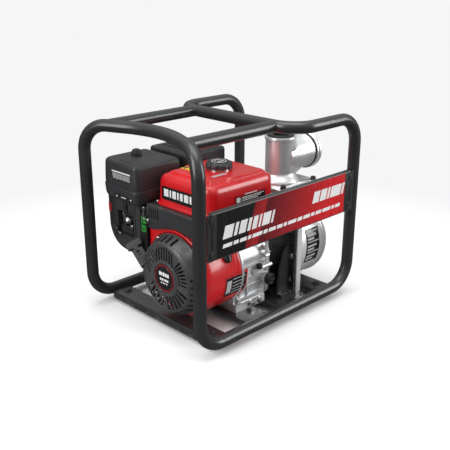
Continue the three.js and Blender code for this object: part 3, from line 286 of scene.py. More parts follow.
class Piece:
    """Geometry being gathered for one visible piece."""

    def __init__(self):
        self.bm = bmesh.new()

    def loft(self, rings, caps=(True, True), closed=False):
        """A skin over rings of equally many points."""
        rows = [[self.bm.verts.new(point) for point in ring] for ring in rings]
        pairs = list(zip(rows, rows[1:]))
        if closed:
            pairs.append((rows[-1], rows[0]))
        for low, high in pairs:
            for i in range(len(low)):
                j = (i + 1) % len(low)
                self.bm.faces.new((low[i], low[j], high[j], high[i]))
        if not closed:
            for wanted, row in zip(caps, (rows[0], rows[-1])):
                if wanted:
                    self.bm.faces.new(row)
        return self

    def prism(self, outline, axis, start, end):
        return self.loft([[place(axis, along, u, v) for u, v in outline] for along in (start, end)])

    def box(self, x0, x1, y0, y1, z0, z1):
        return self.prism([(x0, y0), (x1, y0), (x1, y1), (x0, y1)], "Z", z0, z1)

    def lathe(self, profile, axis, u, v, sides=64, closed=False, radius=None):
        """A turned shape; the profile is (along, radius) pairs. radius(angle) scales it round the axis."""
        rings = []
        for along, r in profile:
            ring = []
            for i in range(sides):
                angle = 2 * math.pi * i / sides
                reach = max(r, 0.02) * (radius(angle) if radius else 1)
                ring.append(place(axis, along, u + reach * math.cos(angle), v + reach * math.sin(angle)))
            rings.append(ring)
        return self.loft(rings, closed=closed)

    def ring(self, axis, start, end, u, v, inner, outer, sides=64):
        return self.lathe([(start, inner), (start, outer), (end, outer), (end, inner)], axis, u, v, sides,
                          True)

    def tube(self, stations, radius, sides=32, closed=False):
        """A round bar along stations."""
        points = [Vector(p) for p in stations]
        count = len(points)
        normal = None
        rings = []
        for i, point in enumerate(points):
            if closed:
                tangent = (points[(i + 1) % count] - points[i - 1]).normalized()
            else:
                tangent = (points[min(i + 1, count - 1)] - points[max(i - 1, 0)]).normalized()
            if normal is None:
                helper = Vector((0, 0, 1)) if abs(tangent.z) < 0.9 else Vector((1, 0, 0))
                normal = tangent.cross(helper).normalized()
            normal = (normal - tangent * normal.dot(tangent)).normalized()
            side = tangent.cross(normal)
            turn = 2 * math.pi / sides
            rings.append([point + radius * (normal * math.cos(k * turn) + side * math.sin(k * turn))
                          for k in range(sides)])
        return self.loft(rings, closed=closed)

    def bolt(self, axis, seat, u, v, r=6.0, height=5.0, out=1, washer=1.7, turn=0.3):
        """A flanged hex head that stands on its seat, towards out."""
        def at(distance):
            return seat + out * distance
        if washer:
            self.lathe([(at(0), r * washer), (at(1.0), r * washer), (at(1.6), r * washer - 0.8),
                        (at(1.6), 0)],
                       axis, u, v, 28)
        hexagon = [(1.2, r), (height - 0.9, r), (height, r * 0.86), (height, 0)]
        rings = [[place(axis, at(along), *p) for p in circle(u, v, max(reach, 0.02), 6, turn)]
                 for along, reach in hexagon]
        return self.loft(rings)

    def move(self, matrix, since=0):
        """Moves the vertices made since a count by a matrix."""
        self.bm.verts.ensure_lookup_table()
        bmesh.ops.transform(self.bm, matrix=matrix, verts=self.bm.verts[since:])
        return self

    def mesh(self, name, sharp):
        bmesh.ops.remove_doubles(self.bm, verts=self.bm.verts, dist=0.005)
        bmesh.ops.recalc_face_normals(self.bm, faces=self.bm.faces)
        bmesh.ops.scale(self.bm, vec=(MM,) * 3, verts=self.bm.verts)
        mesh = bpy.data.meshes.new(name)
        self.bm.to_mesh(mesh)
        self.bm.free()
        shade(mesh, sharp)
        return mesh

    def show(self, name, look, body=ROOT, replaces=(), bevel=0.0, segments=2, sharp=35, cut=None,
             stretch=None):
        """Makes the visible object, takes the cutters out of it, rounds its edges and rides it.
        When stretch is given, its transform is baked into its mesh and it rides no body."""
        obj = bpy.data.objects.new(name, self.mesh(name, sharp))
        bpy.context.scene.collection.objects.link(obj)
        if cut:
            carve(obj, cut, sharp)
        obj.data.materials.clear()
        obj.data.materials.append(LOOKS[look])
        if bevel:
            edge = obj.modifiers.new("edge", "BEVEL")
            edge.width = bevel * MM
            edge.segments = segments
            edge.limit_method = "ANGLE"
            edge.angle_limit = math.radians(sharp)
            edge.harden_normals = True
        if stretch:
            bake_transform(obj)
        else:
            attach(obj, body)
        if replaces:
            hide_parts(*replaces)
        return obj


def shade(mesh, sharp):
    for polygon in mesh.polygons:
        polygon.use_smooth = True
    mesh.set_sharp_from_angle(angle=math.radians(sharp))


def carve(obj, cutter, sharp):
    """Subtracts one gathered piece from an object."""
    tool = bpy.data.objects.new(obj.name + "_cutter", cutter.mesh(obj.name + "_cutter", sharp))
    bpy.context.scene.collection.objects.link(tool)
    modifier = obj.modifiers.new("cut", "BOOLEAN")
    modifier.operation = "DIFFERENCE"
    modifier.solver = "EXACT"
    modifier.use_self = True
    modifier.object = tool
    evaluated = obj.evaluated_get(bpy.context.evaluated_depsgraph_get())
    mesh = bpy.data.meshes.new_from_object(evaluated)
    obj.modifiers.clear()
    obj.data = mesh
    bpy.data.objects.remove(tool)
    shade(mesh, sharp)


# ---------------------------------------------------------------- frame

def side_stations(y):
    corners = [(-POST_X, y, SPLICE_Z), (-POST_X, y, BOTTOM_Z), (POST_X, y, BOTTOM_Z), (POST_X, y, SPLICE_Z)]
    return [corners[0], *bend(*corners[:3], BEND_R), *bend(*corners[1:], BEND_R), corners[3]]


def mirrored(stations):
    back = [(p[0], -p[1], p[2]) for p in reversed(stations) if abs(p[1]) > 1e-3]
    return [*stations, *back]


def engine_end_stations():
    start = (-POST_X, -RAIL_Y, SPLICE_Z)
    corner = (-POST_X, -RAIL_Y, TOP_Z)
    apex = (-POST_X + RAIL_Y * math.tan(V_ANGLE), 0, TOP_Z)
    far = (-POST_X, RAIL_Y, TOP_Z)
    half = [p for p in bend(corner, apex, far, V_BEND_R, 16) if p[1] <= 1e-3]
    return mirrored([start, *bend(start, corner, apex, BEND_R), *half])


def pump_end_stations():
    start = (POST_X, -RAIL_Y, SPLICE_Z)
    corner = (POST_X, -RAIL_Y, TOP_Z)
    inner = (CROSS_BAR_X, -RAIL_Y, TOP_Z)
    far = (CROSS_BAR_X, RAIL_Y, TOP_Z)
    return mirrored([start, *bend(start, corner, inner, BEND_R),
                     *bend(corner, inner, far, RAIL_Y - TOP_RAIL_Y)])


def weld(piece, y, x_of):
    """A bead where a top rail meets a bar; x_of gives its place from the angle round the rail."""
    stations = []
    for i in range(40):
        angle = 2 * math.pi * i / 40
        stations.append((x_of(math.cos(angle)), y + TUBE_R * math.cos(angle),
                         TOP_Z + (TUBE_R - 1.7) * math.sin(angle)))
    piece.tube(stations, 1.6, 8, True)


def frame_pieces():
    for name, stations in (("near_side_tube", side_stations(-RAIL_Y)),
                           ("far_side_tube", side_stations(RAIL_Y)),
                           ("engine_end_bar", engine_end_stations()), ("pump_end_bar", pump_end_stations())):
        Piece().tube(stations, TUBE_R, 40).show(name + "_skin", "frame_paint", replaces=[name], sharp=50)
    slant = math.tan(V_ANGLE)
    across = math.cos(V_ANGLE)
    for name, y in (("near_top_rail", -TOP_RAIL_Y), ("far_top_rail", TOP_RAIL_Y)):
        meet = -POST_X + (RAIL_Y - TOP_RAIL_Y) * slant
        tilt = math.copysign(slant, -y)
        rail = Piece().tube([(meet + 4, y, TOP_Z), (CROSS_BAR_X - 2, y, TOP_Z)], TUBE_R - 0.02, 40)
        weld(rail, y, lambda c, m=meet, t=tilt: m + TUBE_R * (abs(c) / across + c * t))
        weld(rail, y, lambda c: CROSS_BAR_X - TUBE_R * abs(c))
        rail.show(name + "_skin", "frame_paint", replaces=[name], sharp=50)
    for name, depth in (("engine_end_channel", 18), ("pump_end_channel", 18), ("engine_base_plate", 12),
                        ("middle_base_plate", 12)):
        low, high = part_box(name)
        x0, x1, y0, y1 = (value / MM for value in (low[0], high[0], low[1], high[1]))
        channel(x0, x1, y0, y1, depth).show(name + "_skin", "frame_paint", replaces=[name], sharp=30)
    bolts = Piece()
    for x, y in ((-180, -149), (-180, 149), (183, -148), (183, 148), (-55, -108), (-55, 40), (-34, -108),
                 (8, -112), (8, 50)):
        if abs(x) > 100:
            bolts.bolt("Z", BASE_Z, x, y, 6.5, 6)
    bolts.show("frame_bolts", "black_paint")
    for i in range(1, 5):
        low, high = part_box(f"rubber_foot_{i}")
        x, y = ((low[k] + high[k]) / 2 / MM for k in (0, 1))
        foot = [(0, 12), (0.6, 14), (3, 16), (8.6, 17), (9.4, 15.6), (11, 15.6), (12, 17), (22.5, 17),
                (23.4, 16)]
        foot = [(0, 0), *foot, (23.4, 0)]
        Piece().lathe(foot, "Z", x, y, 48).show(f"rubber_foot_{i}_skin", "rubber",
                                                replaces=[f"rubber_foot_{i}"])


def channel(x0, x1, y0, y1, depth, sheet=2.0, fold=3.5):
    """A folded channel, open below."""
    top = BASE_Z
    outer = [(x0, top - depth), *arc(x0 + fold, top - fold, fold, 180, 90, 5),
             *arc(x1 - fold, top - fold, fold, 90, 0, 5), (x1, top - depth)]
    r = fold - sheet
    inner = [(x1 - sheet, top - depth), *arc(x1 - fold, top - fold, r, 0, 90, 5),
             *arc(x0 + fold, top - fold, r, 90, 180, 5), (x0 + sheet, top - depth)]
    outline = outer + inner
    return Piece().prism(outline, "Y", y0, y1)


def side_panel():
    low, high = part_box("side_panel")
    x1, z0, z1 = high[0] / MM, low[2] / MM, high[2] / MM
    front = low[1] / MM
    sheet, lip, fold = 1.5, 12, 3.0
    back = front + lip
    outer = [(back, z0), *arc(front + fold, z0 + fold, fold, 270, 180, 5),
             *arc(front + fold, z1 - fold, fold, 180, 90, 5), (back, z1)]
    r = fold - sheet
    inner = [(back, z1 - sheet), *arc(front + fold, z1 - fold, r, 90, 180, 5),
             *arc(front + fold, z0 + fold, r, 180, 270, 5), (back, z0 + sheet)]
    panel = Piece().prism(outer + inner, "X", -x1 + 12, x1 - 12)
    for side in (-1, 1):
        ends = sorted((side * (x1 - 14), side * x1))
        panel.prism(rounded(ends[0], ends[1], z0 + 0.6, z1 - 0.6, 2.2, 3), "Y", front, front + sheet)
    panel.show("side_panel_skin", "panel_paint", replaces=["side_panel"], sharp=30)
    bolts = Piece()
    for x in (-226.5, 226.5):
        for z in (236, 307):
            bolts.bolt("Y", front, x, z, 5.5, 2.8, -1, 1.5)
    bolts.show("side_panel_bolts", "black_paint")
    panel_print(front - 0.12, z0, z1)


def tinted(name, quads, y):
    """Flat quads on the panel; each is four (x, z) corners and four colours."""
    bm = bmesh.new()
    layer = bm.loops.layers.float_color.new("tint")
    for corners, colours in quads:
        face = bm.faces.new([bm.verts.new((x * MM, y * MM, z * MM)) for x, z in corners])
        for loop, colour in zip(face.loops, colours):
            loop[layer] = (*colour, 1)
    mesh = bpy.data.meshes.new(name)
    bm.to_mesh(mesh)
    bm.free()
    mesh.materials.append(LOOKS["panel_print"])
    obj = bpy.data.objects.new(name, mesh)
    bpy.context.scene.collection.objects.link(obj)
    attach(obj, ROOT)
    return obj


def panel_print(y, z0, z1):
    """The printed graphic: black at the starter end, then slanted facets of red, and plain white bars."""
    low, high = z0 + 3.2, z1 - 2.6
    lean = 31 / (high - low)
    black, dark, deep = (0.006,) * 3, (0.10, 0.004, 0.006), (0.22, 0.006, 0.01)
    mid, bright = (0.40, 0.008, 0.012), (0.60, 0.010, 0.015)

    def slanted(x_low):
        return x_low, x_low + (high - low) * lean
    edges = [(-214, -214), *map(slanted, (-134, -96, -38, 36, 118)), (205, 205)]
    shades = [(black, black), (deep, mid), (dark, deep), (deep, mid), (mid, bright), (bright, bright)]
    quads = []
    for (a_low, a_high), (b_low, b_high), (first, second) in zip(edges, edges[1:], shades):
        quads.append(([(a_low, low), (b_low, low), (b_high, high), (a_high, high)],
                      [first, second, second, first]))
    tinted("side_panel_print", quads, y)
    marks = Piece()

    def bar(x, width, z, height):
        skew = height * 0.28
        marks.prism([(x, z), (x + width, z), (x + width + skew, z + height), (x + skew, z + height)],
                    "Y", y - 0.25, y - 0.02)
    start = -198
    for offset, width in ((0, 26), (31, 9), (45, 20), (70, 9), (84, 14), (103, 6), (114, 24), (143, 6)):
        bar(start + offset, width, 262, 27)
    for x, width in ((84, 22), (110, 22), (136, 8), (148, 16), (164, 22), (190, 8), (166, 0.5)):
        bar(x, width, 272, 26)
    x = start
    for width in (26, 14, 20, 9, 30, 12, 22, 18, 10, 28, 16, 24, 12, 20, 30, 10, 18):
        bar(x, width, 243, 8)
        x += width + 4.2
    marks.show("side_panel_marks", "label_white")


frame_pieces()
side_panel()


# ---------------------------------------------------------------- tank

def smooth(value):
    value = min(1.0, max(0.0, value))
    return value * value * (3 - 2 * value)


TANK = (-164, 42, -130, 50)
CAP_X, CAP_Y = -55, -43


def tank_ring(inset, z, r=26, crest=False):
    x0, x1, y0, y1 = TANK
    ring = []
    radius = max(r - inset * 0.75, 5)
    for x, y in rounded(x0 + inset, x1 - inset, y0 + inset, y1 - inset, radius, 8, 26):
        height = z
        if crest:
            height += tank_crest(x, y)
        ring.append((x, y, height))
    return ring


def tank_crest(x, y):
    """The raised middle of the tank's top, with a step outwards on the near and far sides."""
    x0, x1, y0, y1 = TANK
    bulge = smooth((x + 98) / 14) * smooth((26 - x) / 14)
    wide = 24 - 12 * bulge
    across = min(y - y0, y1 - y) - wide
    along = min(x - x0, x1 - x) - 22
    rise = smooth((min(across, along) + 2) / 7)
    return 7.2 * rise


def fuel_tank():
    shell = Piece()
    rings = [tank_ring(6, 262), tank_ring(5.4, 262.4), tank_ring(6, 272), tank_ring(-3.4, 273),
             tank_ring(-5, 274.4),
             tank_ring(-5, 277.2), tank_ring(-3.6, 278.6), tank_ring(-1.2, 279), tank_ring(0, 280.6),
             tank_ring(0.4, 296), tank_ring(1.4, 312), tank_ring(2.4, 324)]
    for i in range(1, 9):
        angle = math.radians(90 * i / 8)
        rings.append(tank_ring(2.4 + 13 * (1 - math.cos(angle)), 324 + 17.6 * math.sin(angle), crest=i > 5))
    for inset in range(17, 40, 2):
        rings.append(tank_ring(inset, 341.6 + 0.02 * (inset - 15), crest=True))
    for inset in (44, 56, 70, 82):
        rings.append(tank_ring(inset, 342.2, crest=True))
    shell.loft(rings)
    shell.show("fuel_tank_skin", "red_paint", replaces=["fuel_tank"], sharp=60)
    Piece().lathe([(346, 26.5), (350.4, 26.5), (351, 25.5), (355.5, 25.5), (356, 24.8), (356, 22)], "Z",
                  CAP_X, CAP_Y,
                  64).show("fuel_tank_neck", "zinc_steel")
    label(Piece(), "X", -164.25, -96, 26, 289, 319, "fuel_tank_label", "label_black", 3)
    marks = Piece()
    y = 18
    for width in (15, 5, 12, 5, 9, 14, 6):
        marks.prism(rounded(y - width, y, 297, 314, 0.8, 2), "X", -164.6, -164.3)
        y -= width + 4
    marks.show("fuel_tank_label_marks", "label_white")
    label(Piece(), "Y", -130.2, -91, 4, 293.6, 314.5, "fuel_tank_near_label", "label_red", 1.2)
    label(Piece(), "Y", -130.5, -90, 3, 294.4, 308.6, "fuel_tank_near_patch", "label_black", 0.8)
    marks = Piece()
    marks.prism(rounded(-88, -76, 296, 307, 1.5, 3), "Y", -130.8, -130.6)
    for i, z in enumerate((304.4, 300.8, 297.2)):
        marks.prism([(-72, z), (-2 - i * 9, z), (-2 - i * 9, z + 1.5), (-72, z + 1.5)], "Y", -130.8, -130.6)
    marks.prism([(-62, 310.2), (-24, 310.2), (-24, 312.4), (-62, 312.4)], "Y", -130.8, -130.6)
    marks.show("fuel_tank_near_marks", "label_white")
    top = 342.2 + 7.2
    patch(top, [(-92, -12), (-92, 22), (-112, 22), (-112, -12)], "fuel_tank_yellow_label", "label_yellow")
    patch(top + 0.12, [(-96, -7), (-96, 7), (-108, 0)], "fuel_tank_yellow_mark", "label_black")
    patch(top + 0.12, [(-95, 10), (-95, 19), (-109, 19), (-109, 10)], "fuel_tank_yellow_lines", "label_black")
    patch(top, [(-72, -86), (-72, -76), (-112, -76), (-112, -86)], "fuel_tank_grey_label", "label_grey")


def label(piece, axis, at, u0, u1, v0, v1, name, look, r):
    """A thin printed label square to an axis."""
    piece.prism(rounded(u0, u1, v0, v1, r, 4), axis, at, at + 0.4)
    return piece.show(name, look)


def patch(z, corners, name, look):
    Piece().prism(corners, "Z", z - 0.3, z + 0.15).show(name, look)


def fuel_cap():
    def scallop(angle):
        return 1 - 0.075 * smooth((math.cos(8 * angle) - 0.1) / 0.8)
    body = Piece()
    profile = [(352.6, 0), (352.6, 27), (353.2, 29.6), (355, 30.8), (361, 30.6), (364, 29.6), (365.8, 27.4)]
    body.lathe(profile + [(366.4, 0)], "Z", CAP_X, CAP_Y, 128, radius=scallop)
    body.lathe([(365.5, 23.5), (367.6, 23.2), (368.4, 22.2), (368.4, 19.6), (367.2, 19), (367.2, 0)], "Z",
               CAP_X, CAP_Y, 64)
    body.show("fuel_cap_skin", "dark_plastic", "cap", ["fuel_cap"], sharp=40)
    badge = Piece().lathe([(366.9, 0), (366.9, 18.6), (367.6, 18.4), (367.7, 0)], "Z", CAP_X, CAP_Y, 48)
    badge.show("fuel_cap_badge", "black_plastic", "cap")
    marks = Piece()
    marks.ring("Z", 367.6, 367.95, CAP_X, CAP_Y, 15.2, 16.6)
    for i in range(5):
        angle = math.radians(40 + i * 25)
        x, y = CAP_X + 9.5 * math.cos(angle), CAP_Y + 9.5 * math.sin(angle)
        marks.lathe([(367.6, 0), (367.6, 1.7), (367.95, 1.7), (367.95, 0)], "Z", x, y, 12)
    marks.box(CAP_X - 9, CAP_X + 9, CAP_Y - 7, CAP_Y - 3.5, 367.6, 367.95)
    marks.show("fuel_cap_marks", "label_white", "cap")


def tank_trim():
    """The dark moulding under the tank, round the starter end and the near corner."""
    front = -183.5
    outline = [(-108, 273), (60, 273), (60, 262), (62, 258), (62, 232), *arc(55, 226, 7, 0, -60, 4),
               (40, 217), (20, 222), (-6, 230), (-38, 236), (-70, 233), (-98, 228), (-108, 234)]
    trim = Piece().prism(outline, "X", front, -177)
    trim.box(front + 0.6, -158, -106, 60, 268, 273)
    cut = Piece()
    for i in range(5):
        y = 50 - i * 7.6
        cut.box(front - 1, front + 2.6, y - 1.7, y + 1.7, 243, 266)
    cut.box(front - 1, front + 1.4, -104, 2, 262, 264)
    trim.show("tank_trim_skin", "dark_plastic", replaces=["tank_trim"], bevel=0.9, cut=cut)
    boss = Piece().lathe([(front + 1, 8), (front - 1.6, 8), (front - 2.4, 7), (front - 2.4, 0)], "X", 54,
                         234, 32)
    boss.show("tank_trim_boss", "dark_plastic")
    screws = Piece().bolt("X", front - 2.2, 54, 234, 3.4, 2.6, -1, 1.5)
    screws.bolt("X", -179, 57, 262, 4.5, 5, -1, 1.5)
    screws.show("tank_trim_screws", "zinc_steel")


# ---------------------------------------------------------------- shroud and pull starter

SHROUD = {"x0": -178, "x1": -77.3, "r": 100, "left": 62, "top": 238}


def shroud_outline(inset):
    r = SHROUD["r"] - inset
    leave = 62
    points = arc(CRANK_Y, CRANK_Z, r, 90, 360 - leave, 56)
    points += [(SHROUD["left"] - inset - 8, CRANK_Z - 62 + inset),
               (SHROUD["left"] - inset, CRANK_Z - 54 + inset)]
    points += [(SHROUD["left"] - inset, SHROUD["top"] - inset), (CRANK_Y, SHROUD["top"] - inset)]
    return points


def blower_housing():
    x0, x1 = SHROUD["x0"], SHROUD["x1"]
    steps = [(x1 + 0, 0.4), (x1 - 1.2, 0), (x1 - 8, 0), (x1 - 9, 1.0), (x1 - 12, 1.0), (x1 - 13, 0),
             (x0 + 12, 0)]
    for i in range(1, 7):
        angle = math.radians(15 * i)
        steps.append((x0 + 10 - 10 * math.sin(angle), 10 * (1 - math.cos(angle))))
    rings = [[(x, y, z) for y, z in shroud_outline(inset)] for x, inset in steps]
    shell = Piece().loft(rings, caps=(False, False))
    rim = [(x0, y, z) for y, z in shroud_outline(10)]
    hole = [(x0, CRANK_Y + 84 * math.cos(a), CRANK_Z + 84 * math.sin(a)) for a in
            (math.atan2(z - CRANK_Z, y - CRANK_Y) for _, y, z in rim)]
    shell.loft([rim, hole, [(x0 + 8, y, z) for _, y, z in hole]], caps=(False, False))
    obj = shell.show("blower_housing_skin", "red_paint", replaces=["blower_housing"], sharp=50)
    thicken = obj.modifiers.new("sheet", "SOLIDIFY")
    thicken.thickness = 1.6 * MM
    thicken.offset = -1
    lip = Piece()
    arch = [(x0 - 1.5, CRANK_Y + 97.5 * math.cos(a), CRANK_Z + 97.5 * math.sin(a))
            for a in (math.radians(8 + 150 * i / 40) for i in range(41))]
    lip.tube(arch, 2.6, 12)
    lip.show("blower_housing_lip", "red_paint")
    label_near = Piece()
    curved(label_near, 100.15, 100.45, 176, 220, -128, -58)
    label_near.show("blower_housing_label", "label_red")
    inner = Piece()
    curved(inner, 100.4, 100.7, 180, 208, -125, -61)
    inner.show("blower_housing_label_patch", "label_black")
    marks = Piece()
    for i, (start, end) in enumerate(((183, 184), (188, 189), (193, 194), (198, 199), (203, 204))):
        curved(marks, 100.6, 100.9, start, end, -104, -64 - 5 * (i % 3))
    curved(marks, 100.6, 100.9, 184, 203, -122, -108)
    marks.show("blower_housing_label_marks", "label_grey")
    bolts = Piece()
    for y, z in ((52, 226), (52, 84)):
        bolts.bolt("X", x0, y, z, 4.5, 4.5, -1, 1.5)
    bolts.show("blower_housing_bolts", "zinc_steel")


def curved(piece, inner, outer, start, end, x0, x1):
    """A patch wrapped on the shroud between two angles in degrees."""
    steps = 12
    rings = []
    for x in (x0, x1):
        rings.append([(x, y, z) for y, z in arc(CRANK_Y, CRANK_Z, outer, start, end, steps)
                      + arc(CRANK_Y, CRANK_Z, inner, end, start, steps)])
    piece.loft(rings)


def spoke_slot(cut, x0, x1, angle, r0, r1, width, splay=0.0):
    """A round-ended slot through the cover along a radius, at an angle in degrees."""
    turn = math.radians(angle)
    half = width / 2
    outline = [*arc(r0, 0, half, 270, 90, 6), *arc(r1, 0, half + splay, 90, -90, 6)]
    points = [(CRANK_Y + u * math.cos(turn) - v * math.sin(turn),
               CRANK_Z + u * math.sin(turn) + v * math.cos(turn))
              for u, v in outline]
    cut.prism(points, "X", x0, x1)


def straight_slot(cut, x0, x1, ends, width):
    """A round-ended slot between two (y, z) points."""
    (ya, za), (yb, zb) = ends
    turn = math.degrees(math.atan2(zb - za, yb - ya))
    half = width / 2
    points = [*arc(yb, zb, half, turn - 90, turn + 90, 5), *arc(ya, za, half, turn + 90, turn + 270, 5)]
    cut.prism(points, "X", x0, x1)


def recoil_cover():
    face, rim = -216, -182.5
    outer = [(rim, 90.5), (rim, 93), (rim - 1.5, 93.6), (rim - 4, 93), (rim - 5, 90.6), (-198, 86.5),
             (-205, 83.6), (-209, 81.5), (-212, 79), (-214.2, 76), (-215.4, 72.5), (face, 68), (face, 0)]
    inner = [(face + 3, 0), (face + 3, 67), (-212.4, 71), (-209, 76.5), (-205, 80.4), (-198, 83.6),
             (rim - 4, 88)]
    shell = Piece().lathe(inner[::1] + outer, "X", CRANK_Y, CRANK_Z, 120, closed=True)
    cut = Piece()
    deep, out = face - 3, face + 6
    for i in range(7):
        y = CRANK_Y - 25.5 + i * 8.5
        r = 74 - 1.2 * abs(i - 3)
        reach = math.sqrt(max(r * r - (y - CRANK_Y) ** 2, 0))
        low = math.sqrt(max(41 ** 2 - (y - CRANK_Y) ** 2, 0)) + 2
        straight_slot(cut, deep, out, ((y, CRANK_Z + low), (y, CRANK_Z + reach - 3)), 5.2)
    for i in range(6):
        spoke_slot(cut, deep, out, 202 + i * 11.5, 45, 70, 6.6, 1.6)
    for i in range(6):
        angle = math.radians(276 + i * 10)
        y, z = CRANK_Y + 58 * math.cos(angle), CRANK_Z + 58 * math.sin(angle)
        straight_slot(cut, deep, out, ((y - 8, z + 11), (y + 8, z - 11)), 5.0)
    for i in range(7):
        spoke_slot(cut, deep, out, 135 + i * 7.5, 46, 70, 4.2)
    for i in range(6):
        angle = math.radians(8 + i * 9.5)
        y, z = CRANK_Y + 59 * math.cos(angle), CRANK_Z + 59 * math.sin(angle)
        straight_slot(cut, deep, out, ((y - 8, z - 8), (y + 8, z + 8)), 4.6)
    skirt = Piece()
    for i in range(32):
        angle = i * 11.25
        if 18 < angle < 72:
            continue
        block = len(skirt.bm.verts)
        skirt.prism([(-210.5, 74), (-210.5, 96), (-187.5, 96), (-187.5, 80)], "Y", -3.7, 3.7)
        # The prism lies on X and Z; it is turned round the crank line.
        skirt.move(Matrix.Translation((0, CRANK_Y, CRANK_Z)) @ Matrix.Rotation(math.radians(angle), 4, "X"),
                   block)
    shell_obj = shell.show("recoil_cover_skin", "cover_plastic", replaces=["recoil_cover"], bevel=0.0,
                           cut=cut)
    carve(shell_obj, skirt, 35)
    shell_obj.data.materials.clear()
    shell_obj.data.materials.append(LOOKS["cover_plastic"])
    edge = shell_obj.modifiers.new("edge", "BEVEL")
    edge.width, edge.segments, edge.limit_method = 0.45 * MM, 2, "ANGLE"
    edge.angle_limit = math.radians(35)
    edge.harden_normals = True
    badge = Piece()
    badge.lathe([(face + 0.5, 39), (face - 0.9, 39), (face - 1.5, 38), (face - 1.5, 34.6),
                 (face - 0.6, 33.6), (face - 0.6, 0)],
                "X", CRANK_Y, CRANK_Z, 96)
    badge.show("recoil_cover_ring", "cover_plastic")
    Piece().ring("X", face - 1.4, face - 0.5, CRANK_Y, CRANK_Z, 32.4, 33.8,
                 96).show("recoil_cover_bright_ring", "steel")
    Piece().lathe([(face - 0.5, 0), (face - 0.5, 32.2), (face - 1.3, 31.6), (face - 1.4, 0)], "X", CRANK_Y,
                  CRANK_Z,
                  96).show("recoil_cover_badge", "badge_red")
    Piece().lathe([(face - 1.3, 0), (face - 1.3, 27.4), (face - 1.7, 27), (face - 1.75, 0)], "X", CRANK_Y,
                  CRANK_Z,
                  96).show("recoil_cover_badge_centre", "label_black")
    marks = Piece()
    for z, tall, widths in ((9, 4.2, (6, 3, 6, 5, 5)), (-4, 2.6, (4, 5, 3, 5, 4)), (-12, 1.0, (5, 8, 6))):
        y = CRANK_Y + sum(widths) / 2 + 0.9 * (len(widths) - 1)
        for width in widths:
            marks.prism(rounded(y - width, y, CRANK_Z + z - tall, CRANK_Z + z + tall, 0.6, 2), "X",
                        face - 2.0, face - 1.7)
            y -= width + 1.8
    marks.show("recoil_cover_badge_marks", "label_white")
    bolts = Piece()
    for angle in (52, 172, 292):
        turn = math.radians(angle)
        bolts.bolt("X", rim - 4.5, CRANK_Y + 89.5 * math.cos(turn), CRANK_Z + 89.5 * math.sin(turn), 3.6,
                   4.5, -1, 1.5)
    bolts.show("recoil_cover_bolts", "zinc_steel")
    # a thin black disc behind the slots: painted shade, standing in for the shade inside the cover
    Piece().lathe([(-181, 84), (-181.5, 84), (-181.5, 20), (-181, 20)], "X", CRANK_Y, CRANK_Z, 64,
                  True).show("painted_shade_disc", "black_paint")
    rope_guide()


def rope_frame():
    """From the handle's own frame, along +Y from the reel and rolled about the rope, to the row's frame."""
    return (Matrix.Translation((ROPE_X, CRANK_Y, CRANK_Z)) @ Matrix.Rotation(PULL_TURN, 4, "X")
            @ Matrix.Translation((0, 0, -REEL_R)) @ Matrix.Rotation(-GRIP_ROLL, 4, "Y"))


def rope_guide():
    guide = Piece()
    guide.prism([(-12, 60), (12, 60), (12, 98), (9, 102), (-9, 102), (-12, 98)], "Z", -9, 8)
    guide.prism(rounded(-12.4, 12.4, 76, 101, 2, 3), "Z", 6, 9)
    guide.move(rope_frame())
    cut = Piece()
    cut.prism(rounded(-3.6, 3.6, 80, 97, 1.5, 3), "Z", 4.5, 12)
    cut.lathe([(58, 0), (58, 4.2), (110, 4.2), (110, 0)], "Y", 0, 0, 24)
    cut.move(rope_frame())
    guide.show("recoil_cover_guide", "dark_plastic", bevel=0.8, cut=cut)
    rim = Piece().lathe([(-213.4, 74.5), (-215.4, 74.8), (-215.9, 75.6), (-215.5, 76.6), (-213.8, 77.6),
                         (-212.6, 77.6)],
                        "X", CRANK_Y, CRANK_Z, 120, True)
    rim.show("recoil_cover_rim", "cover_plastic")


def grip():
    body = Piece()
    body.prism([(-6, 103.4), (6, 103.4), (6.6, 110), (-6.6, 110)], "Z", -5, 5)
    body.prism(rounded(-18.4, 18.4, 108.2, 124.8, 3, 4), "Z", -5.4, 4.6)
    body.prism(rounded(-16.8, 16.8, 109.8, 123.2, 2.4, 4), "Z", 4.4, 5.4)
    for i in range(5):
        body.prism(rounded(-13 + i * 5.8, -10.4 + i * 5.8, 111.6, 121.4, 1.2, 3), "Z", -6.0, -5.2)
    body.move(rope_frame())
    body.show("recoil_grip_skin", "dark_plastic", "grip", ["recoil_grip"], bevel=0.9, segments=3)
    rope = Piece()
    strands = 3
    for k in range(strands):
        stations = []
        for i in range(91):
            along = 97 + 13 * i / 90
            angle = 2 * math.pi * (k / strands + i / 30)
            stations.append((0.95 * math.cos(angle), along, 0.95 * math.sin(angle)))
        rope.tube(stations, 1.2, 10)
    rope.move(rope_frame())
    ends = [rope_frame() @ Vector((0, along, 0)) * MM for along in (98, 109)]
    rope.show("starter_rope_skin", "rope_cord", "grip", ["starter_rope"], stretch=ends)


fuel_tank()
fuel_cap()
tank_trim()
blower_housing()
recoil_cover()
grip()


# ---------------------------------------------------------------- air cleaner and controls

AIR = {"x0": -213, "x1": -76, "y0": 56, "y1": 190, "low": 272, "split": 304, "high": 365}
KNOB_X, KNOB_Y = -143, 140


def quadratic(a, b, c, steps):
    """Points on a quadratic curve, without its first."""
    points = []
    for i in range(1, steps + 1):
        t = i / steps
        points.append(tuple((1 - t) ** 2 * a[k] + 2 * t * (1 - t) * b[k] + t * t * c[k] for k in (0, 1)))
    return points


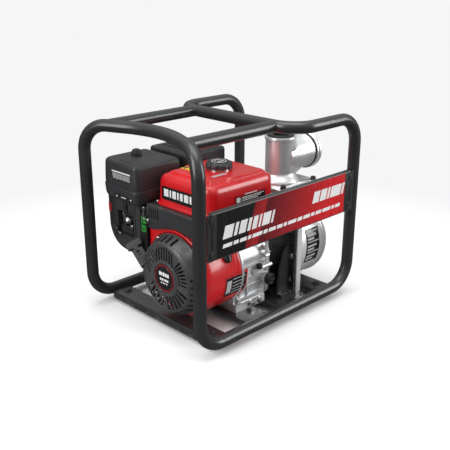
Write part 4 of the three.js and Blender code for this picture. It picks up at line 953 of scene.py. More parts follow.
def air_outline(inset, shoulder=8):
    """The cleaner's plan: square behind, bowed at the starter end."""
    x0, x1, y0, y1 = AIR["x0"] + inset, AIR["x1"] - inset, AIR["y0"] + inset, AIR["y1"] - inset
    r = 14 - inset * 0.5
    s = shoulder
    points = [*arc(x1 - s, y0 + s, s, 270, 360, 5), *arc(x1 - s, y1 - s, s, 0, 90, 5)]
    points.append((x0 + 14 + r, y1))
    points += quadratic((x0 + 14 + r, y1), (x0 + 8, y1), (x0 + 6, y1 - r), 8)
    points += quadratic((x0 + 6, y1 - r), (x0 - 1, (y0 + y1) / 2 + 6), (x0, y0 + r), 14)
    points += quadratic((x0, y0 + r), (x0, y0), (x0 + r, y0), 8)
    return points


def air_ring(inset, z):
    return [(x, y, z) for x, y in air_outline(inset)]


def air_cleaner():
    cover = Piece()
    split, top = AIR["split"], AIR["high"] - 2.8
    rings = [air_ring(2.6, split), air_ring(1.4, split + 0.4), air_ring(1.2, split + 2),
             air_ring(1.6, split + 22),
             air_ring(2.6, top - 11)]
    for i in range(1, 9):
        angle = math.radians(90 * i / 8)
        rings.append(air_ring(2.6 + 9 * (1 - math.cos(angle)), top - 11 + 11 * math.sin(angle)))
    rings.append(air_ring(20, top + 0.5))
    cover.loft(rings)
    cut = Piece()
    scoop = [(5, top - 2.2), (2.2, top - 1.6), (0.5, top + 0.4), (0, top + 4)]
    cut.loft([[(-216 + (24 - d) * math.cos(a), 117 + (45 - d) * math.sin(a), z)
               for a in (2 * math.pi * k / 72 for k in range(72))] for d, z in scoop])
    cut.prism(rounded(77, 148, 320, 342, 2, 3), "X", -230, -207.4)
    cover.show("air_cleaner_cover_skin", "dark_plastic", replaces=["air_cleaner_cover"], sharp=40, cut=cut)
    hatch = Piece()
    hatch.prism(rounded(77.4, 147.6, 320.4, 341.6, 1.6, 3), "X", -209.6, -206.4)
    hatch.show("air_cleaner_badge_plate", "black_plastic")
    strip = Piece().prism(rounded(79, 146, 337.4, 340.4, 0.8, 2), "X", -210.1, -209.5)
    strip.show("air_cleaner_badge_strip", "label_white")
    marks = Piece()
    for i in range(12):
        y = 80.5 + i * 5.3
        marks.prism([(y, 322), (y + 2.9, 322), (y + 5.2, 335.4), (y + 2.3, 335.4)], "X", -210.1, -209.5)
    marks.show("air_cleaner_badge_marks", "label_grey")
    base = Piece()
    low = AIR["low"]
    base.loft([air_ring(10, low), air_ring(6, low + 0.7), air_ring(3, low + 3.4), air_ring(1.4, low + 8),
               air_ring(0.7, low + 16), air_ring(0, low + 25), air_ring(0, split - 1.4),
               air_ring(0.7, split - 0.3),
               air_ring(2.8, split - 0.1)])
    base.show("air_cleaner_base_skin", "dark_plastic", replaces=["air_cleaner_base"], sharp=40)
    slot = Piece().prism(rounded(71, 134, 278.6, 287.4, 4.3, 5), "X", -212.5, -205)
    slot.show("air_cleaner_base_slot", "black_plastic", bevel=0.4)
    scale = Piece()
    for y0, y1, tall in ((74.5, 78.5, 1.7), (93, 112, 1.1), (125, 129.5, 1.7)):
        scale.prism(rounded(y0, y1, 283 - tall, 283 + tall, 1.4, 3), "X", -212.9, -212.3)
    scale.show("air_cleaner_base_marks", "label_white")
    clips = Piece()
    for x in (-178, -112):
        clips.prism(rounded(x - 7, x + 7, 293, 314, 2, 3), "Y", 188.6, 189.9)
        clips.box(x - 5, x + 5, 188, 189.9, 312, 317)
    clips.show("air_cleaner_clips", "zinc_steel", bevel=0.3)
    knob = Piece()

    def lobes(angle):
        return 1 - 0.10 * smooth((math.cos(7 * angle) - 0.2) / 0.8)
    z = AIR["high"]
    knob.lathe([(z + 0.3, 0), (z + 0.3, 9.8), (z + 1.4, 11.6), (z + 6, 11.4), (z + 10, 9.8), (z + 12.8, 6.6),
                (z + 13.8, 3), (z + 14, 0)], "Z", KNOB_X, KNOB_Y, 84, radius=lobes)
    knob.lathe([(z - 2.6, 12.6), (z - 0.6, 13.4), (z + 0.2, 12.4), (z + 0.2, 4), (z - 2.6, 4)], "Z", KNOB_X,
               KNOB_Y, 48, True)
    knob.show("air_cleaner_knob_skin", "black_plastic", "cleaner_knob", ["air_cleaner_knob"], sharp=40)


def control_outline(inset):
    low, high = 141, 269
    points = [(130, low + inset)]
    points += quadratic((130, low + inset), (184 - inset, low + 2 + inset), (195 - inset, low + 51), 16)
    points += [(197 - inset, high - inset), (76 + inset, high - inset), (76 + inset, low + 8 + inset)]
    points += quadratic((76 + inset, low + 8 + inset), (76 + inset, low + inset), (84 + inset, low + inset),
                        4)
    return points


def control_housing():
    front = CONTROL_FRONT_X
    steps = [(-152, 0), (front + 5, 0), (front + 2.4, 0.7), (front + 0.7, 2.4), (front, 5)]
    shell = Piece().loft([[(x, y, z) for y, z in control_outline(inset)] for x, inset in steps])
    cut = Piece()
    cut.prism(rounded(100, 160, 180, 238, 6, 4), "X", front - 2, front + 16)
    cut.prism([(y, z) for y, z in control_outline(3)], "X", front + 18, -150)
    shell.show("control_housing_skin", "dark_plastic", replaces=["control_housing"], bevel=0.7, cut=cut)
    ribs = Piece()
    for y0, y1, z0, z1 in ((92, 97, 172, 262), (98, 162, 240, 244), (98, 158, 173, 177)):
        ribs.prism(rounded(y0, y1, z0, z1, 1.5, 3), "X", front - 1.6, front + 1)
    ribs.prism(rounded(78, 186, 262, 265, 1.2, 3), "X", front - 1.4, front + 1)
    ribs.show("control_housing_ribs", "dark_plastic", bevel=0.5)
    bowl = Piece()
    for inset in (12, 16):
        bowl.tube([(front + 0.2, y, z) for y, z in control_outline(inset)[:17]], 0.8, 8)
    bowl.show("control_housing_bowl", "dark_plastic")
    works = Piece()
    works.lathe([(213, 0), (213, 10.6), (216, 11.4), (221, 10.6), (225, 7.8), (227.4, 3.6), (228, 0)], "Z",
                -184, 124, 40)
    works.lathe([(-176, 0), (-176, 5), (-188, 5), (-188.6, 4), (-188.6, 0)], "X", 112, 204, 24)
    works.tube([(-184, 146, 232), (-184, 142, 222), (-184, 146, 212)], 1.8, 10)
    works.show("control_works", "zinc_steel", bevel=0.4)
    dark = Piece()
    dark.lathe([(-176, 0), (-176, 9), (-184, 9), (-185, 8), (-185, 0)], "X", 142, 196, 28)
    dark.box(-180, -176, 106, 126, 206, 218)
    dark.box(-181, -176, 104, 112, 216, 234)
    dark.prism(rounded(108, 152, 184, 204, 4, 3), "X", -186, -176)
    dark.prism(rounded(112, 118, 200, 211, 2, 3), "X", -188, -176)
    dark.prism(rounded(130, 136, 202, 211, 2, 3), "X", -188, -176)
    dark.show("control_works_dark", "black_paint", bevel=0.6)
    plate = Piece().prism(rounded(55, 79, 150, 248, 3, 4), "X", -186.5, -184.5)
    plate.prism(rounded(55, 79, 150, 168, 3, 4), "X", -190, -184.5)
    plate.show("control_plate", "black_plastic", bevel=0.5)
    marks = Piece()
    for z in (233, 213):
        marks.prism(rounded(59, 74, z - 8, z + 8, 1.2, 3), "X", -187.0, -186.4)
    marks.show("control_plate_marks", "label_green")
    signs = Piece()
    signs.ring("X", -187.3, -186.9, 66.5, 233, 3.2, 4.4, 24)
    signs.prism([(62, 209), (71, 209), (66.5, 217)], "X", -187.3, -186.9)
    signs.show("control_plate_signs", "black_plastic")
    decal = Piece().prism(rounded(183, 194, 226, 248, 1.5, 3), "X", front - 0.3, front + 0.2)
    decal.show("control_housing_decal", "label_red")
    pipe = Piece()
    pipe.tube([(-150, 60, 258), (-168, 66, 256), (-181, 72, 252), (-183, 84, 258), (-178, 96, 264)], 2.6, 14)
    pipe.tube([(-150, 76, 180), (-176, 78, 182), (-182, 84, 190), (-183, 92, 186)], 2.2, 14)
    pipe.show("fuel_hose", "rubber")


def lever(name, look, body, x, pivot, tip, width, knob):
    """A flat lever on a boss, with a moulded tip."""
    (y, z), (ty, tz) = pivot, tip
    turn = math.degrees(math.atan2(tz - z, ty - y))
    arm = Piece()
    arm.prism([*arc(y, z, width * 0.62, turn + 90, turn + 270, 8),
               *arc(ty, tz, width * 0.45, turn - 90, turn + 90, 8)],
              "X", x - 1.4, x + 1.4)
    arm.lathe([(x + 2.4, 0), (x + 2.4, width * 0.74), (x - 1.4, width * 0.74), (x - 2, width * 0.62),
               (x - 2, 0)],
              "X", y, z, 28)
    arm.lathe([(x + 1.5, 0), (x + 1.5, knob * 0.9), (x - 1.2, knob), (x - 2, knob * 0.8), (x - 2, 0)], "X",
              ty, tz, 24)
    arm.show(name + "_skin", look, body, [name], bevel=0.3)


def levers():
    lever("choke_lever", "black_plastic", "choke", -193, (122, 240), (126, 256), 7, 6.4)
    lever("fuel_valve_lever", "zinc_steel", "fuel_valve", -193, (168, 186), (150, 180), 6, 4)
    hub = Piece().lathe([(-191.9, 0), (-191.9, 11), (-193, 12), (-195.4, 11.6), (-196.6, 9.6), (-197, 0)],
                        "X", 168, 186, 40)
    hub.show("fuel_valve_hub", "panel_paint", "fuel_valve")
    lever("throttle_lever", "zinc_steel", "throttle", -188, (64, 236), (64, 262), 5, 5)
    switch = Piece()
    switch.lathe([(100.6, 0), (100.6, 10.8), (102, 11), (104.6, 10), (105.4, 8.8), (105.4, 0)], "Z", 0, 0, 40)
    switch.prism([(-1.9, -8), (1.9, -8), (1.5, 8), (-1.5, 8)], "Z", 105, 108.8)
    turn = math.radians(154 - 90)
    switch.move(Matrix.Translation((-113, CRANK_Y, CRANK_Z)) @ Matrix.Rotation(turn, 4, "X"))
    switch.show("engine_switch_skin", "black_plastic", "switch", ["engine_switch"], bevel=0.3)


# ---------------------------------------------------------------- engine block

def tilt_frame():
    """The cylinder's frame, where Y runs from the crank to the head."""
    return Matrix.Translation((0, CRANK_Y, CRANK_Z)) @ Matrix.Rotation(TILT, 4, "X")


def deck_corner(along, across):
    c, s = math.cos(TILT), math.sin(TILT)
    return (CRANK_Y + along * c - across * s, CRANK_Z + along * s + across * c)


def crankcase_outline(inset=0.0):
    near = -112 + inset
    base = BASE_Z + 14 + inset
    return [(near + 4, base), (48.7 - inset, base), deck_corner(70 - inset, -52 + inset),
            deck_corner(70 - inset, 52 - inset), (-48, 207 - inset), (-70, 201 - inset), (-92, 182 - inset),
            (-104, 165 - inset), (near, 145 - inset), (near, base + 4)]


def crankcase():
    x0, x1 = CASE_X
    body = Piece()
    steps = [(x0, 0), (x1 - 4, 0), (x1, 1.5)]
    body.loft([[(x, y, z) for y, z in crankcase_outline(inset)] for x, inset in steps])
    body.box(x0, 19, -121, 62, BASE_Z + 0.3, 46)
    body.box(x0 + 10, 10, -119, -108, 44, 56)
    body.prism([(-121, 44), (-108, 62), (-104, 62), (-104, 40), (-121, 40)], "X", -66, -12)
    for z, depth in ((140, 4), (124, 4), (96, 3), (76, 2.5)):
        body.prism([(-112 - depth, z), (-112 - depth, z + 3.4), (-108, z + 6), (-108, z - 4)], "X", x0 + 4,
                   x1 - 2)
    for x in (-62, -36, 30):
        body.prism([(-115.5, 48), (-115.5, 112), (-108, 126), (-108, 48)], "X", x, x + 3.6)
    for x, z, r in ((-66, 158, 6), (24, 158, 6), (-66, 58, 6), (-8, 106, 9), (8, 62, 5)):
        body.lathe([(-104, 0), (-104, r), (-115, r - 0.6), (-116, r - 1.6), (-116, 0)], "Y", x, z, 28)
    body.lathe([(-124, 8.4), (-124, 12.4), (-122, 13.2), (-106, 14.5), (-106, 8.4)], "Y", *DIPSTICK, 40, True)
    rim = [(x0 + 0.2, 97.4), (x0 + 0.2, 99.6), (x0 + 2, 101), (x0 + 7.5, 101), (x0 + 9, 99.5), (x0 + 9, 90),
           (x0 + 0.2, 90)]
    body.lathe(rim, "X", CRANK_Y, CRANK_Z, 96, True)
    cut = Piece()
    cut.box(x0 - 5, x1 + 5, -50, 200, -10, BASE_Z + 0.25)
    cut.box(x0 - 5, x0 + 12, CRANK_Y - 8, 140, 205, 300)
    body.show("crankcase_skin", "cast_aluminium", replaces=["crankcase"], bevel=0.9, cut=cut)
    plate = Piece().loft([[(x, y, z) for y, z in crankcase_outline(inset)] for x, inset in
                          ((38.3, 1.4), (38.3, 2), (45.5, 2), (47, 3.5))])
    plate.show("crankcase_cover_skin", "cast_aluminium", replaces=["crankcase_cover"], bevel=0.8)
    Piece().loft([[(x, y, z) for y, z in crankcase_outline(0.6)] for x in (37.8, 38.4)]).show(
        "crankcase_gasket", "rubber")
    bolts = Piece()
    for y, z in ((-104, 56), (-104, 100), (-104, 138), (-84, 176), (-50, 196), (-10, 190), (34, 60),
                 (40, 104),
                 (-60, 50), (0, 50)):
        bolts.bolt("X", 46.8, y, z, 4.6, 5, 1, 1.6)
    bolts.bolt("Y", -121, 2, 36, 5, 4.5, -1, 1.6)
    bolts.bolt("Z", 46, -64, -116, 4.4, 4, 1, 1.5)
    bolts.bolt("Z", 46, 12, -113, 4.4, 7, 1, 1.5)
    bolts.show("crankcase_bolts", "zinc_steel")
    drain = Piece().bolt("Y", -121.2, -29, 36, 7.2, 9, -1, 1.25)
    drain.show("oil_drain_bolt_skin", "zinc_steel", replaces=["oil_drain_bolt"])


def governor():
    rod = Piece()
    y = GOVERNOR_Y
    rod.lathe([(4, 0), (4, 5.2), (5, 5.6), (12, 5.6), (12.6, 4.4), (34, 4.4), (34.6, 5), (39, 5), (40, 4.2),
               (40, 0)],
              "X", y, 116, 32)
    rod.prism([(-123.4, 110), (-120.2, 110), (-120.2, 196), (-123.4, 196)], "X", 19.5, 26.5)
    rod.lathe([(16, 0), (16, 4.2), (17, 5), (29, 5), (30, 4.2), (30, 0)], "X", -121.5, 142, 28)
    rod.lathe([(-125, 0), (-125, 4.4), (-118, 4.4), (-118, 0)], "Y", 23, 188, 24)
    rod.show("governor_arm_skin", "polished_aluminium", "governor", ["governor_arm"], bevel=0.7)
    cap = Piece().lathe([(3.6, 0), (3.6, 7), (-3, 7.4), (-5, 6.6), (-6, 5), (-6, 0)], "X", y, 121, 32)
    cap.show("governor_seal", "rubber")
    boss = Piece().lathe([(-112, 0), (-112, 8), (-117, 7), (-117, 0)], "Y", -2, 122, 28)
    boss.show("governor_boss", "cast_aluminium", bevel=0.5)
    stick = Piece()

    def lobes(angle):
        return 1 - 0.06 * smooth((math.cos(10 * angle) - 0.2) / 0.8)
    stick.lathe([(-124.4, 0), (-124.4, 13.4), (-125.4, 15), (-130, 15), (-133, 14.2), (-136, 12),
                 (-136, 10.4),
                 (-134.2, 9.6), (-134.2, 0)], "Y", *DIPSTICK, 80, radius=lobes)
    stick.prism([(19, 82), (35, 82), (35, 86), (19, 86)], "Y", -138.4, -134)
    stick.show("oil_dipstick_skin", "black_plastic", "dipstick", ["oil_dipstick"], bevel=0.5)
    ring = Piece().ring("Y", -134.9, -134.1, *DIPSTICK, 10.6, 12.4, 48)
    ring.show("oil_dipstick_ring", "zinc_steel", "dipstick")


def cylinder():
    half = CYLINDER_HALF
    fins = Piece()
    for i in range(9):
        y = 76 + i * 7
        grow = 1 if i % 2 else 0
        fins.prism(rounded(CYLINDER_X - half + grow, CYLINDER_X + half - grow, -half + grow, half - grow, 7,
                           4), "Y", y, y + FIN_THICKNESS)
    fins.lathe([(70.4, 0), (70.4, 41), (140, 41), (140, 0)], "Y", CYLINDER_X, 0, 64)
    fins.prism(rounded(CYLINDER_X - half, CYLINDER_X + half, -half, half, 5, 4), "Y", 70.3, 75)
    fins.move(tilt_frame())
    fins.show("cylinder_skin", "cast_aluminium", replaces=["cylinder"], bevel=0.5)
    head = Piece()
    for i in range(5):
        y = 140.6 + i * 5.6
        head.prism(rounded(CYLINDER_X - half, CYLINDER_X + half, -half, half, 8, 4), "Y", y,
                   y + FIN_THICKNESS)
    head.prism(rounded(-56, 16, -37, 37, 6, 4), "Y", 140.3, 172)
    head.move(tilt_frame())
    head.show("cylinder_head_skin", "cast_aluminium", replaces=["cylinder_head"], bevel=0.5)
    cover = Piece()
    rings = []
    for inset, y in ((-1.2, 172.4), (-1.2, 175.6), (2.0, 176.2), (2.4, 190), (4.2, 195), (8, 197.6),
                     (14, 198.2)):
        rings.append([(x, y, z) for x, z in rounded(-59 + inset, 19 - inset, -41 + inset, 41 - inset, 10, 6)])
    cover.loft(rings)
    cover.box(-44, 4, 197, 198.3, -26, 26)
    cover.move(tilt_frame())
    cover.show("rocker_cover_skin", "black_paint", replaces=["rocker_cover"], bevel=0.6)
    bolts = Piece()
    for x, z in ((-54, -36), (14, -36), (-54, 36), (14, 36)):
        bolts.bolt("Y", 176, x, z, 4.4, 6, 1, 1.5)
    bolts.move(tilt_frame())
    bolts.show("rocker_cover_bolts", "zinc_steel")
    boot = Piece()
    boot.lathe([(-67, 0), (-67, 7), (-65, 8.8), (-50, 9.2), (-48, 8.4), (-46, 9.2), (-33, 8), (-33, 0)],
               "Z", -20, 158, 40)
    boot.tube([(-20, 158, -60), (-26, 158, -62.4), (-36, 158, -62), (-47, 158, -62)], 5.4, 24)
    boot.move(tilt_frame())
    boot.show("spark_plug_cap_skin", "rubber", replaces=["spark_plug_cap"])
    body = Piece()
    x, y, z = CARBURETTOR
    body.lathe([(86, 0), (86, 19), (92, 18), (104, 15.5), (120, 16), (132, 19), (140, 19), (140, 0)], "Y",
               x, z, 48)
    body.lathe([(z, 17), (262, 15.4), (276, 17), (280.6, 17)], "Z", x, y, 48)
    body.prism(rounded(x - 20, x + 20, z - 22, z + 22, 5, 4), "Y", 84, 90)
    body.lathe([(196, 0), (196.4, 14), (199, 18), (203, 19.6), (224, 20), (226, 19), (226, 0)], "Z", x, y, 48)
    body.prism(rounded(96, 122, 226, 246, 4, 4), "X", -126, -66.8)
    body.show("carburettor_skin", "cast_aluminium", replaces=["carburettor"], bevel=0.5)


def exhaust():
    x0, x1, y0, y1, low, high = -63, 67, 57, 194, 264, 365
    shield = Piece()

    def ring(inset, z):
        return [(x, y, z) for x, y in rounded(x0 + inset, x1 - inset, y0 + inset, y1 - inset,
                                              9 - inset * 0.4, 6)]
    rings = [ring(0, low), ring(0, high - 8)]
    for i in range(1, 6):
        angle = math.radians(18 * i)
        rings.append(ring(7 * (1 - math.cos(angle)), high - 8 + 7.6 * math.sin(angle)))
    rings.append(ring(16, high - 0.2))
    shield.loft(rings, caps=(False, True))
    cut = Piece()
    for i in range(7):
        y = y0 + 22 + i * 14.5
        cut.prism(rounded(x0 + 20, x1 - 20, y, y + 6, 2.9, 4), "Z", high - 12, high + 3)
    for i in range(6):
        y = y0 + 26 + i * 16
        cut.prism(rounded(y, y + 6, low + 22, low + 60, 2.9, 4), "X", x1 - 4, x1 + 3)
    cut.lathe([(y1 - 6, 0), (y1 - 6, 12), (y1 + 6, 12), (y1 + 6, 0)], "Y", 30, 300, 32)
    obj = shield.show("muffler_shield_skin", "black_paint", replaces=["muffler_shield"], sharp=40)
    thicken = obj.modifiers.new("sheet", "SOLIDIFY")
    thicken.thickness = 1.4 * MM
    thicken.offset = -1
    tool = bpy.data.objects.new("slots", cut.mesh("slots", 35))
    bpy.context.scene.collection.objects.link(tool)
    modifier = obj.modifiers.new("cut", "BOOLEAN")
    modifier.operation = "DIFFERENCE"
    modifier.object = tool
    evaluated = obj.evaluated_get(bpy.context.evaluated_depsgraph_get())
    mesh = bpy.data.meshes.new_from_object(evaluated)
    obj.modifiers.clear()
    obj.data = mesh
    bpy.data.objects.remove(tool)
    shade(mesh, 40)
    screws = Piece()
    for x in (x0 + 10, x1 - 10):
        for y in (y0 + 12, y1 - 12):
            screws.lathe([(high - 1.6, 0), (high - 1.6, 4), (high - 0.8, 4.4), (high - 0.2, 3.2),
                          (high - 0.1, 0)], "Z", x, y, 20)
    screws.show("muffler_shield_screws", "zinc_steel")


# ---------------------------------------------------------------- pump

def plate_outline(inset=0.0):
    half = 109 - inset
    foot = BASE_Z + 0.3
    points = [(CRANK_Y - half, foot), (CRANK_Y - half + 34, foot)]
    points += quadratic((CRANK_Y - half + 34, foot), (CRANK_Y, foot + 26), (CRANK_Y + half - 34, foot), 12)
    points += [(CRANK_Y + half, foot)]
    points += [(CRANK_Y + half, 196)]
    points += quadratic((CRANK_Y + half, 196), (CRANK_Y + half, 246 - inset),
                        (CRANK_Y + half - 50, 246 - inset), 10)
    points += [(CRANK_Y - half + 50, 246 - inset)]
    points += quadratic((CRANK_Y - half + 50, 246 - inset), (CRANK_Y - half, 246 - inset),
                        (CRANK_Y - half, 196), 10)
    return points


def pump_adapter():
    x0, x1 = 47.3, 104.7
    body = Piece()
    body.lathe([(x0, 18), (x0, 72), (x0 + 4, 73.6), (x0 + 10, 75), (x1 - 8, 96), (x1, 97), (x1, 84),
                (x1 - 12, 82),
                (x0 + 8, 52), (x0 + 6, 18)], "X", CRANK_Y, CRANK_Z, 96, True)
    body.loft([[(x, y, z) for y, z in plate_outline(3)] for x in (x1 - 7, x1)])
    gusset = [(x0 + 4, 27), (x1 - 2, 27), (x1 - 2, CRANK_Z + 44), (x0 + 26, CRANK_Z + 10),
              (x0 + 10, CRANK_Z - 40)]
    for side in (-1, 1):
        for reach in (92, 58):
            y = CRANK_Y + side * reach
            body.prism(gusset, "Y", y - 2.6, y + 2.6)
        y0, y1 = sorted((CRANK_Y + side * 56, CRANK_Y + side * 105))
        body.box(x0 + 8, x1, y0, y1, 26.5, 34)
    for i in range(12):
        angle = math.radians(30 * i + 15)
        y, z = math.cos(angle), math.sin(angle)
        across = (-z * 2.0, y * 2.0)
        rib = []
        for x, r0, r1 in ((x0 + 12, 72, 79), (x1 - 6, 90, 104)):
            rib.append([(x, CRANK_Y + y * r + s * across[0], CRANK_Z + z * r + s * across[1])
                        for r, s in ((r0, -1), (r1, -1), (r1, 1), (r0, 1))])
        body.loft(rib)
    cut = Piece()
    cut.lathe([(x0 - 5, 0), (x0 - 5, 17), (x0 + 9, 17), (x0 + 9, 50), (x1 - 12, 82), (x1 + 3, 82),
               (x1 + 3, 0)], "X",
              CRANK_Y, CRANK_Z, 64)
    cut.box(x0 - 10, x0 + 0.05, -200, 100, 0, 300)
    body.show("pump_adapter_skin", "adapter_metal", replaces=["pump_adapter"], bevel=0.9, cut=cut)
    bolts = Piece()
    for y, z in ((-128, 60), (-132, 120), (-126, 190), (-96, 232), (20, 232), (52, 190), (56, 120), (52, 60)):
        bolts.bolt("X", x1 - 7, y, z, 5.4, 6, -1, 1.6)
    bolts.show("pump_adapter_bolts", "zinc_steel")


def pump_casing():
    plate, drum, end, r = PUMP_PLATE_X, PUMP_DRUM_X, PUMP_END_X, PUMP_R
    body = Piece()
    bulge = [(plate, 1.2), (plate + 1.2, 0), (drum - 2, 0), (drum, 2)]
    body.loft([[(x, y, z) for y, z in plate_outline(inset)] for x, inset in bulge])
    profile = [(drum - 4, 0), (drum - 4, r + 2), (drum + 6, r + 2), (drum + 9, r), (drum + 40, r + 0.8),
               (end - 20, r + 0.4),
               (end - 18, r + 2.6), (end - 13, r + 2.6), (end - 12, r - 0.5), (end - 9, r - 1),
               (end - 3, r - 6),
               (end, r - 14), (end, 0)]
    body.lathe(profile, "X", CRANK_Y, CRANK_Z, 128)
    body.loft([[(x, y, z) for x, y in rounded(108, 210, -90, 14, 16, 6)] for z in (190, 262)])
    body.loft([[(x, y, z) for x, y in rounded(106 + d, 226 - d, -110 + d, 34 - d, 18, 6)]
               for d, z in ((2, 260), (0, 261.5), (0, 271), (1.6, 272.7))])
    for angle in COVER_BOLT_ANGLES:
        turn = math.radians(angle)
        body.lathe([(end - 6, 0), (end - 6, 8), (end, 7.4), (end, 0)], "X",
                   CRANK_Y + COVER_BOLT_R * math.cos(turn),
                   CRANK_Z + COVER_BOLT_R * math.sin(turn), 24)
    body.lathe([(end - 5, 64), (end - 5, 68), (end, 66), (end, 64)], "X", CRANK_Y, INLET_Z, 64, True)
    cut = Piece()
    cut.lathe([(end - 12, 0), (end - 12, 38), (end + 3, 38), (end + 3, 0)], "X", CRANK_Y, INLET_Z, 64)
    cut.lathe([(plate - 2, 0), (plate - 2, 94), (end - 10, 94), (end - 10, 0)], "X", CRANK_Y, CRANK_Z, 64)
    cut.lathe([(240, 0), (240, 34), (280, 34), (280, 0)], "Z", ELBOW_X, CRANK_Y, 48)
    # the pump casing takes the lighter copy of cast aluminium, whose extra brightness is painted light
    body.show("pump_casing_skin", "cast_aluminium_painted_light", replaces=["pump_casing"], bevel=0.8, cut=cut)
    bolts = Piece()
    for angle in COVER_BOLT_ANGLES:
        turn = math.radians(angle)
        bolts.bolt("X", end - 0.6, CRANK_Y + COVER_BOLT_R * math.cos(turn),
                   CRANK_Z + COVER_BOLT_R * math.sin(turn), 5, 5, 1, 1.5)
    bolts.show("pump_casing_bolts", "zinc_steel")
    tag = Piece()
    wrap(tag, r + 1.1, r + 1.5, 156, 204, 146, 194)
    tag.show("pump_casing_label", "label_black")
    marks = Piece()
    for i in range(9):
        start = 158.5 + i * 4.9
        wrap(marks, r + 1.4, r + 1.8, start, start + (3.0 if i % 3 else 1.6), 149, 190 - 8 * (i % 3))
    marks.show("pump_casing_label_marks", "label_grey")


def wrap(piece, inner, outer, start, end, x0, x1):
    """A patch wrapped on the drum between two angles in degrees."""
    rings = []
    for x in (x0, x1):
        rings.append([(x, y, z) for y, z in arc(CRANK_Y, CRANK_Z, outer, start, end, 10)
                      + arc(CRANK_Y, CRANK_Z, inner, end, start, 10)])
    piece.loft(rings)


def coupling(name, x0, z, flange):
    inner, outer, end = 38, 47, PORT_END_X
    profile = [(x0, inner), (x0, flange - 1), (x0 + 1, flange), (x0 + 5, flange), (x0 + 6, flange - 1),
               (x0 + 7, outer - 3)]
    x = x0 + 8
    while x < end - 6:
        profile += [(x, outer - 1.6), (x + 1.2, outer), (x + 2.2, outer), (x + 3.4, outer - 1.6)]
        x += 4.2
    profile += [(end - 3, outer - 0.4), (end - 1, outer - 1), (end, outer - 2.4), (end, inner + 1.6),
                (end - 1.6, inner)]
    Piece().lathe(profile, "X", CRANK_Y, z, 96, True).show(name + "_skin", "polished_aluminium",
                                                           replaces=[name], sharp=40)


def discharge():
    x, z, top, r, branch = ELBOW_X, OUTLET_Z, 391, 36, 42
    body = Piece()
    flange = 281
    body.loft([[(px, py, pz) for px, py in rounded(88 + d, 228 - d, -110 + d, 34 - d, 18, 6)]
               for d, pz in ((1, 273.2), (0, 274.2), (0, 279.8), (1.4, 281))])
    rings = []
    for i in range(49):
        t = i / 48
        height = flange - 1 + (top - 6 - flange) * t
        flare = 13 * (1 - smooth(t / 0.22))
        ring = []
        for k in range(96):
            angle = 2 * math.pi * k / 96
            c, s = math.cos(angle), math.sin(angle)
            reach = r + flare
            # the sweep into the branch swells the pump side
            swell = smooth((height - 284) / 46) * smooth((392 - height) / 26)
            reach += 11 * swell * max(0.0, c) ** 1.5
            ring.append((x + reach * c, CRANK_Y + reach * s, height))
        rings.append(ring)
    body.loft(rings)
    body.lathe([(top - 9, 0), (top - 9, r), (top - 7, r + 2.2), (top - 1.4, r + 2.5), (top, r + 1.6),
                (top, 0)], "Z", x,
               CRANK_Y, 96)
    # the branch, with a sweep below it that runs down into the pipe
    rings = []
    for i in range(33):
        t = i / 32
        along = x + (243 - x) * t
        droop = 22 * (1 - smooth((t - 0.25) / 0.62))
        ring = []
        for k in range(96):
            angle = 2 * math.pi * k / 96
            c, s = math.cos(angle), math.sin(angle)
            half = (branch - 3) + 3 * smooth((t - 0.7) / 0.25)
            low = max(0.0, -s) ** 1.2 * droop
            ring.append((along, CRANK_Y + half * c, z + half * s - low))
        rings.append(ring)
    body.loft(rings)
    body.lathe([(236, 0), (236, branch - 0.5), (238, branch + 0.6), (242.4, branch + 0.6), (243, branch),
                (243, 0)], "X",
               CRANK_Y, z, 96)
    cut = Piece()
    cut.lathe([(240, 0), (240, 30), (top + 5, 30), (top + 5, 0)], "Z", x, CRANK_Y, 64)
    cut.lathe([(x, 0), (x, 34), (247, 36), (247, 0)], "X", CRANK_Y, z, 64)
    body.show("discharge_elbow_skin", "polished_aluminium", replaces=["discharge_elbow"], sharp=38, cut=cut)
    Piece().ring("X", 243.1, 246.4, CRANK_Y, z, 37, 44.4, 80).show("outlet_gasket_skin", "rubber",
                                                                   replaces=["outlet_gasket"],
                                                                     bevel=0.5)
    plug = Piece()
    plug.lathe([(top + 0.3, 0), (top + 0.3, 32.4), (top + 1.4, 33), (top + 3.6, 33), (top + 4.8, 31.8),
                (top + 4.8, 0)], "Z",
               x, CRANK_Y, 64)
    rings = []
    for inset, height in ((0.4, top + 4.6), (0, top + 6), (0, top + 21), (1.2, top + 23.4), (3.4, top + 24),
                          (8, top + 24)):
        rings.append([(u, v, height) for u, v in rounded(-17 + inset, 17 - inset, -17 + inset, 17 - inset,
                                                         3.4, 4)])
    since = len(plug.bm.verts)
    plug.loft(rings)
    plug.move(Matrix.Translation((x, CRANK_Y, 0)) @ Matrix.Rotation(math.radians(45), 4, "Z"), since)
    plug.show("priming_plug_skin", "black_plastic", "outlet_plug", ["priming_plug"], bevel=0.5)
    bolts = Piece()
    dark = Piece()
    for px in (102, 214):
        for py in (-99, 23):
            bolts.ring("Z", 281, 282.2, px, py, 5, 9.4, 32)
            dark.bolt("Z", 282.2, px, py, 6.4, 8, 1, 1.3)
    bolts.show("discharge_washers", "zinc_steel")
    dark.show("discharge_bolts", "black_paint")
    drain = Piece()
    drain.bolt("X", 232.4, CRANK_Y, 50, 10.6, 11.4, 1, 1.25)
    drain.show("pump_drain_plug_skin", "black_plastic", "drain_plug", ["pump_drain_plug"], bevel=0.4)


def inner_nodes():
    """Nodes whose shapes stay get the finish of their slot."""
    slots = {entry["node"]: entry["material_slot"] for entry in frame["record"]["subparts"]}
    for name, obj in frame["nodes"].items():
        obj.data.materials.clear()
        obj.data.materials.append(LOOKS[slots[name]])
        shade(obj.data, 35)


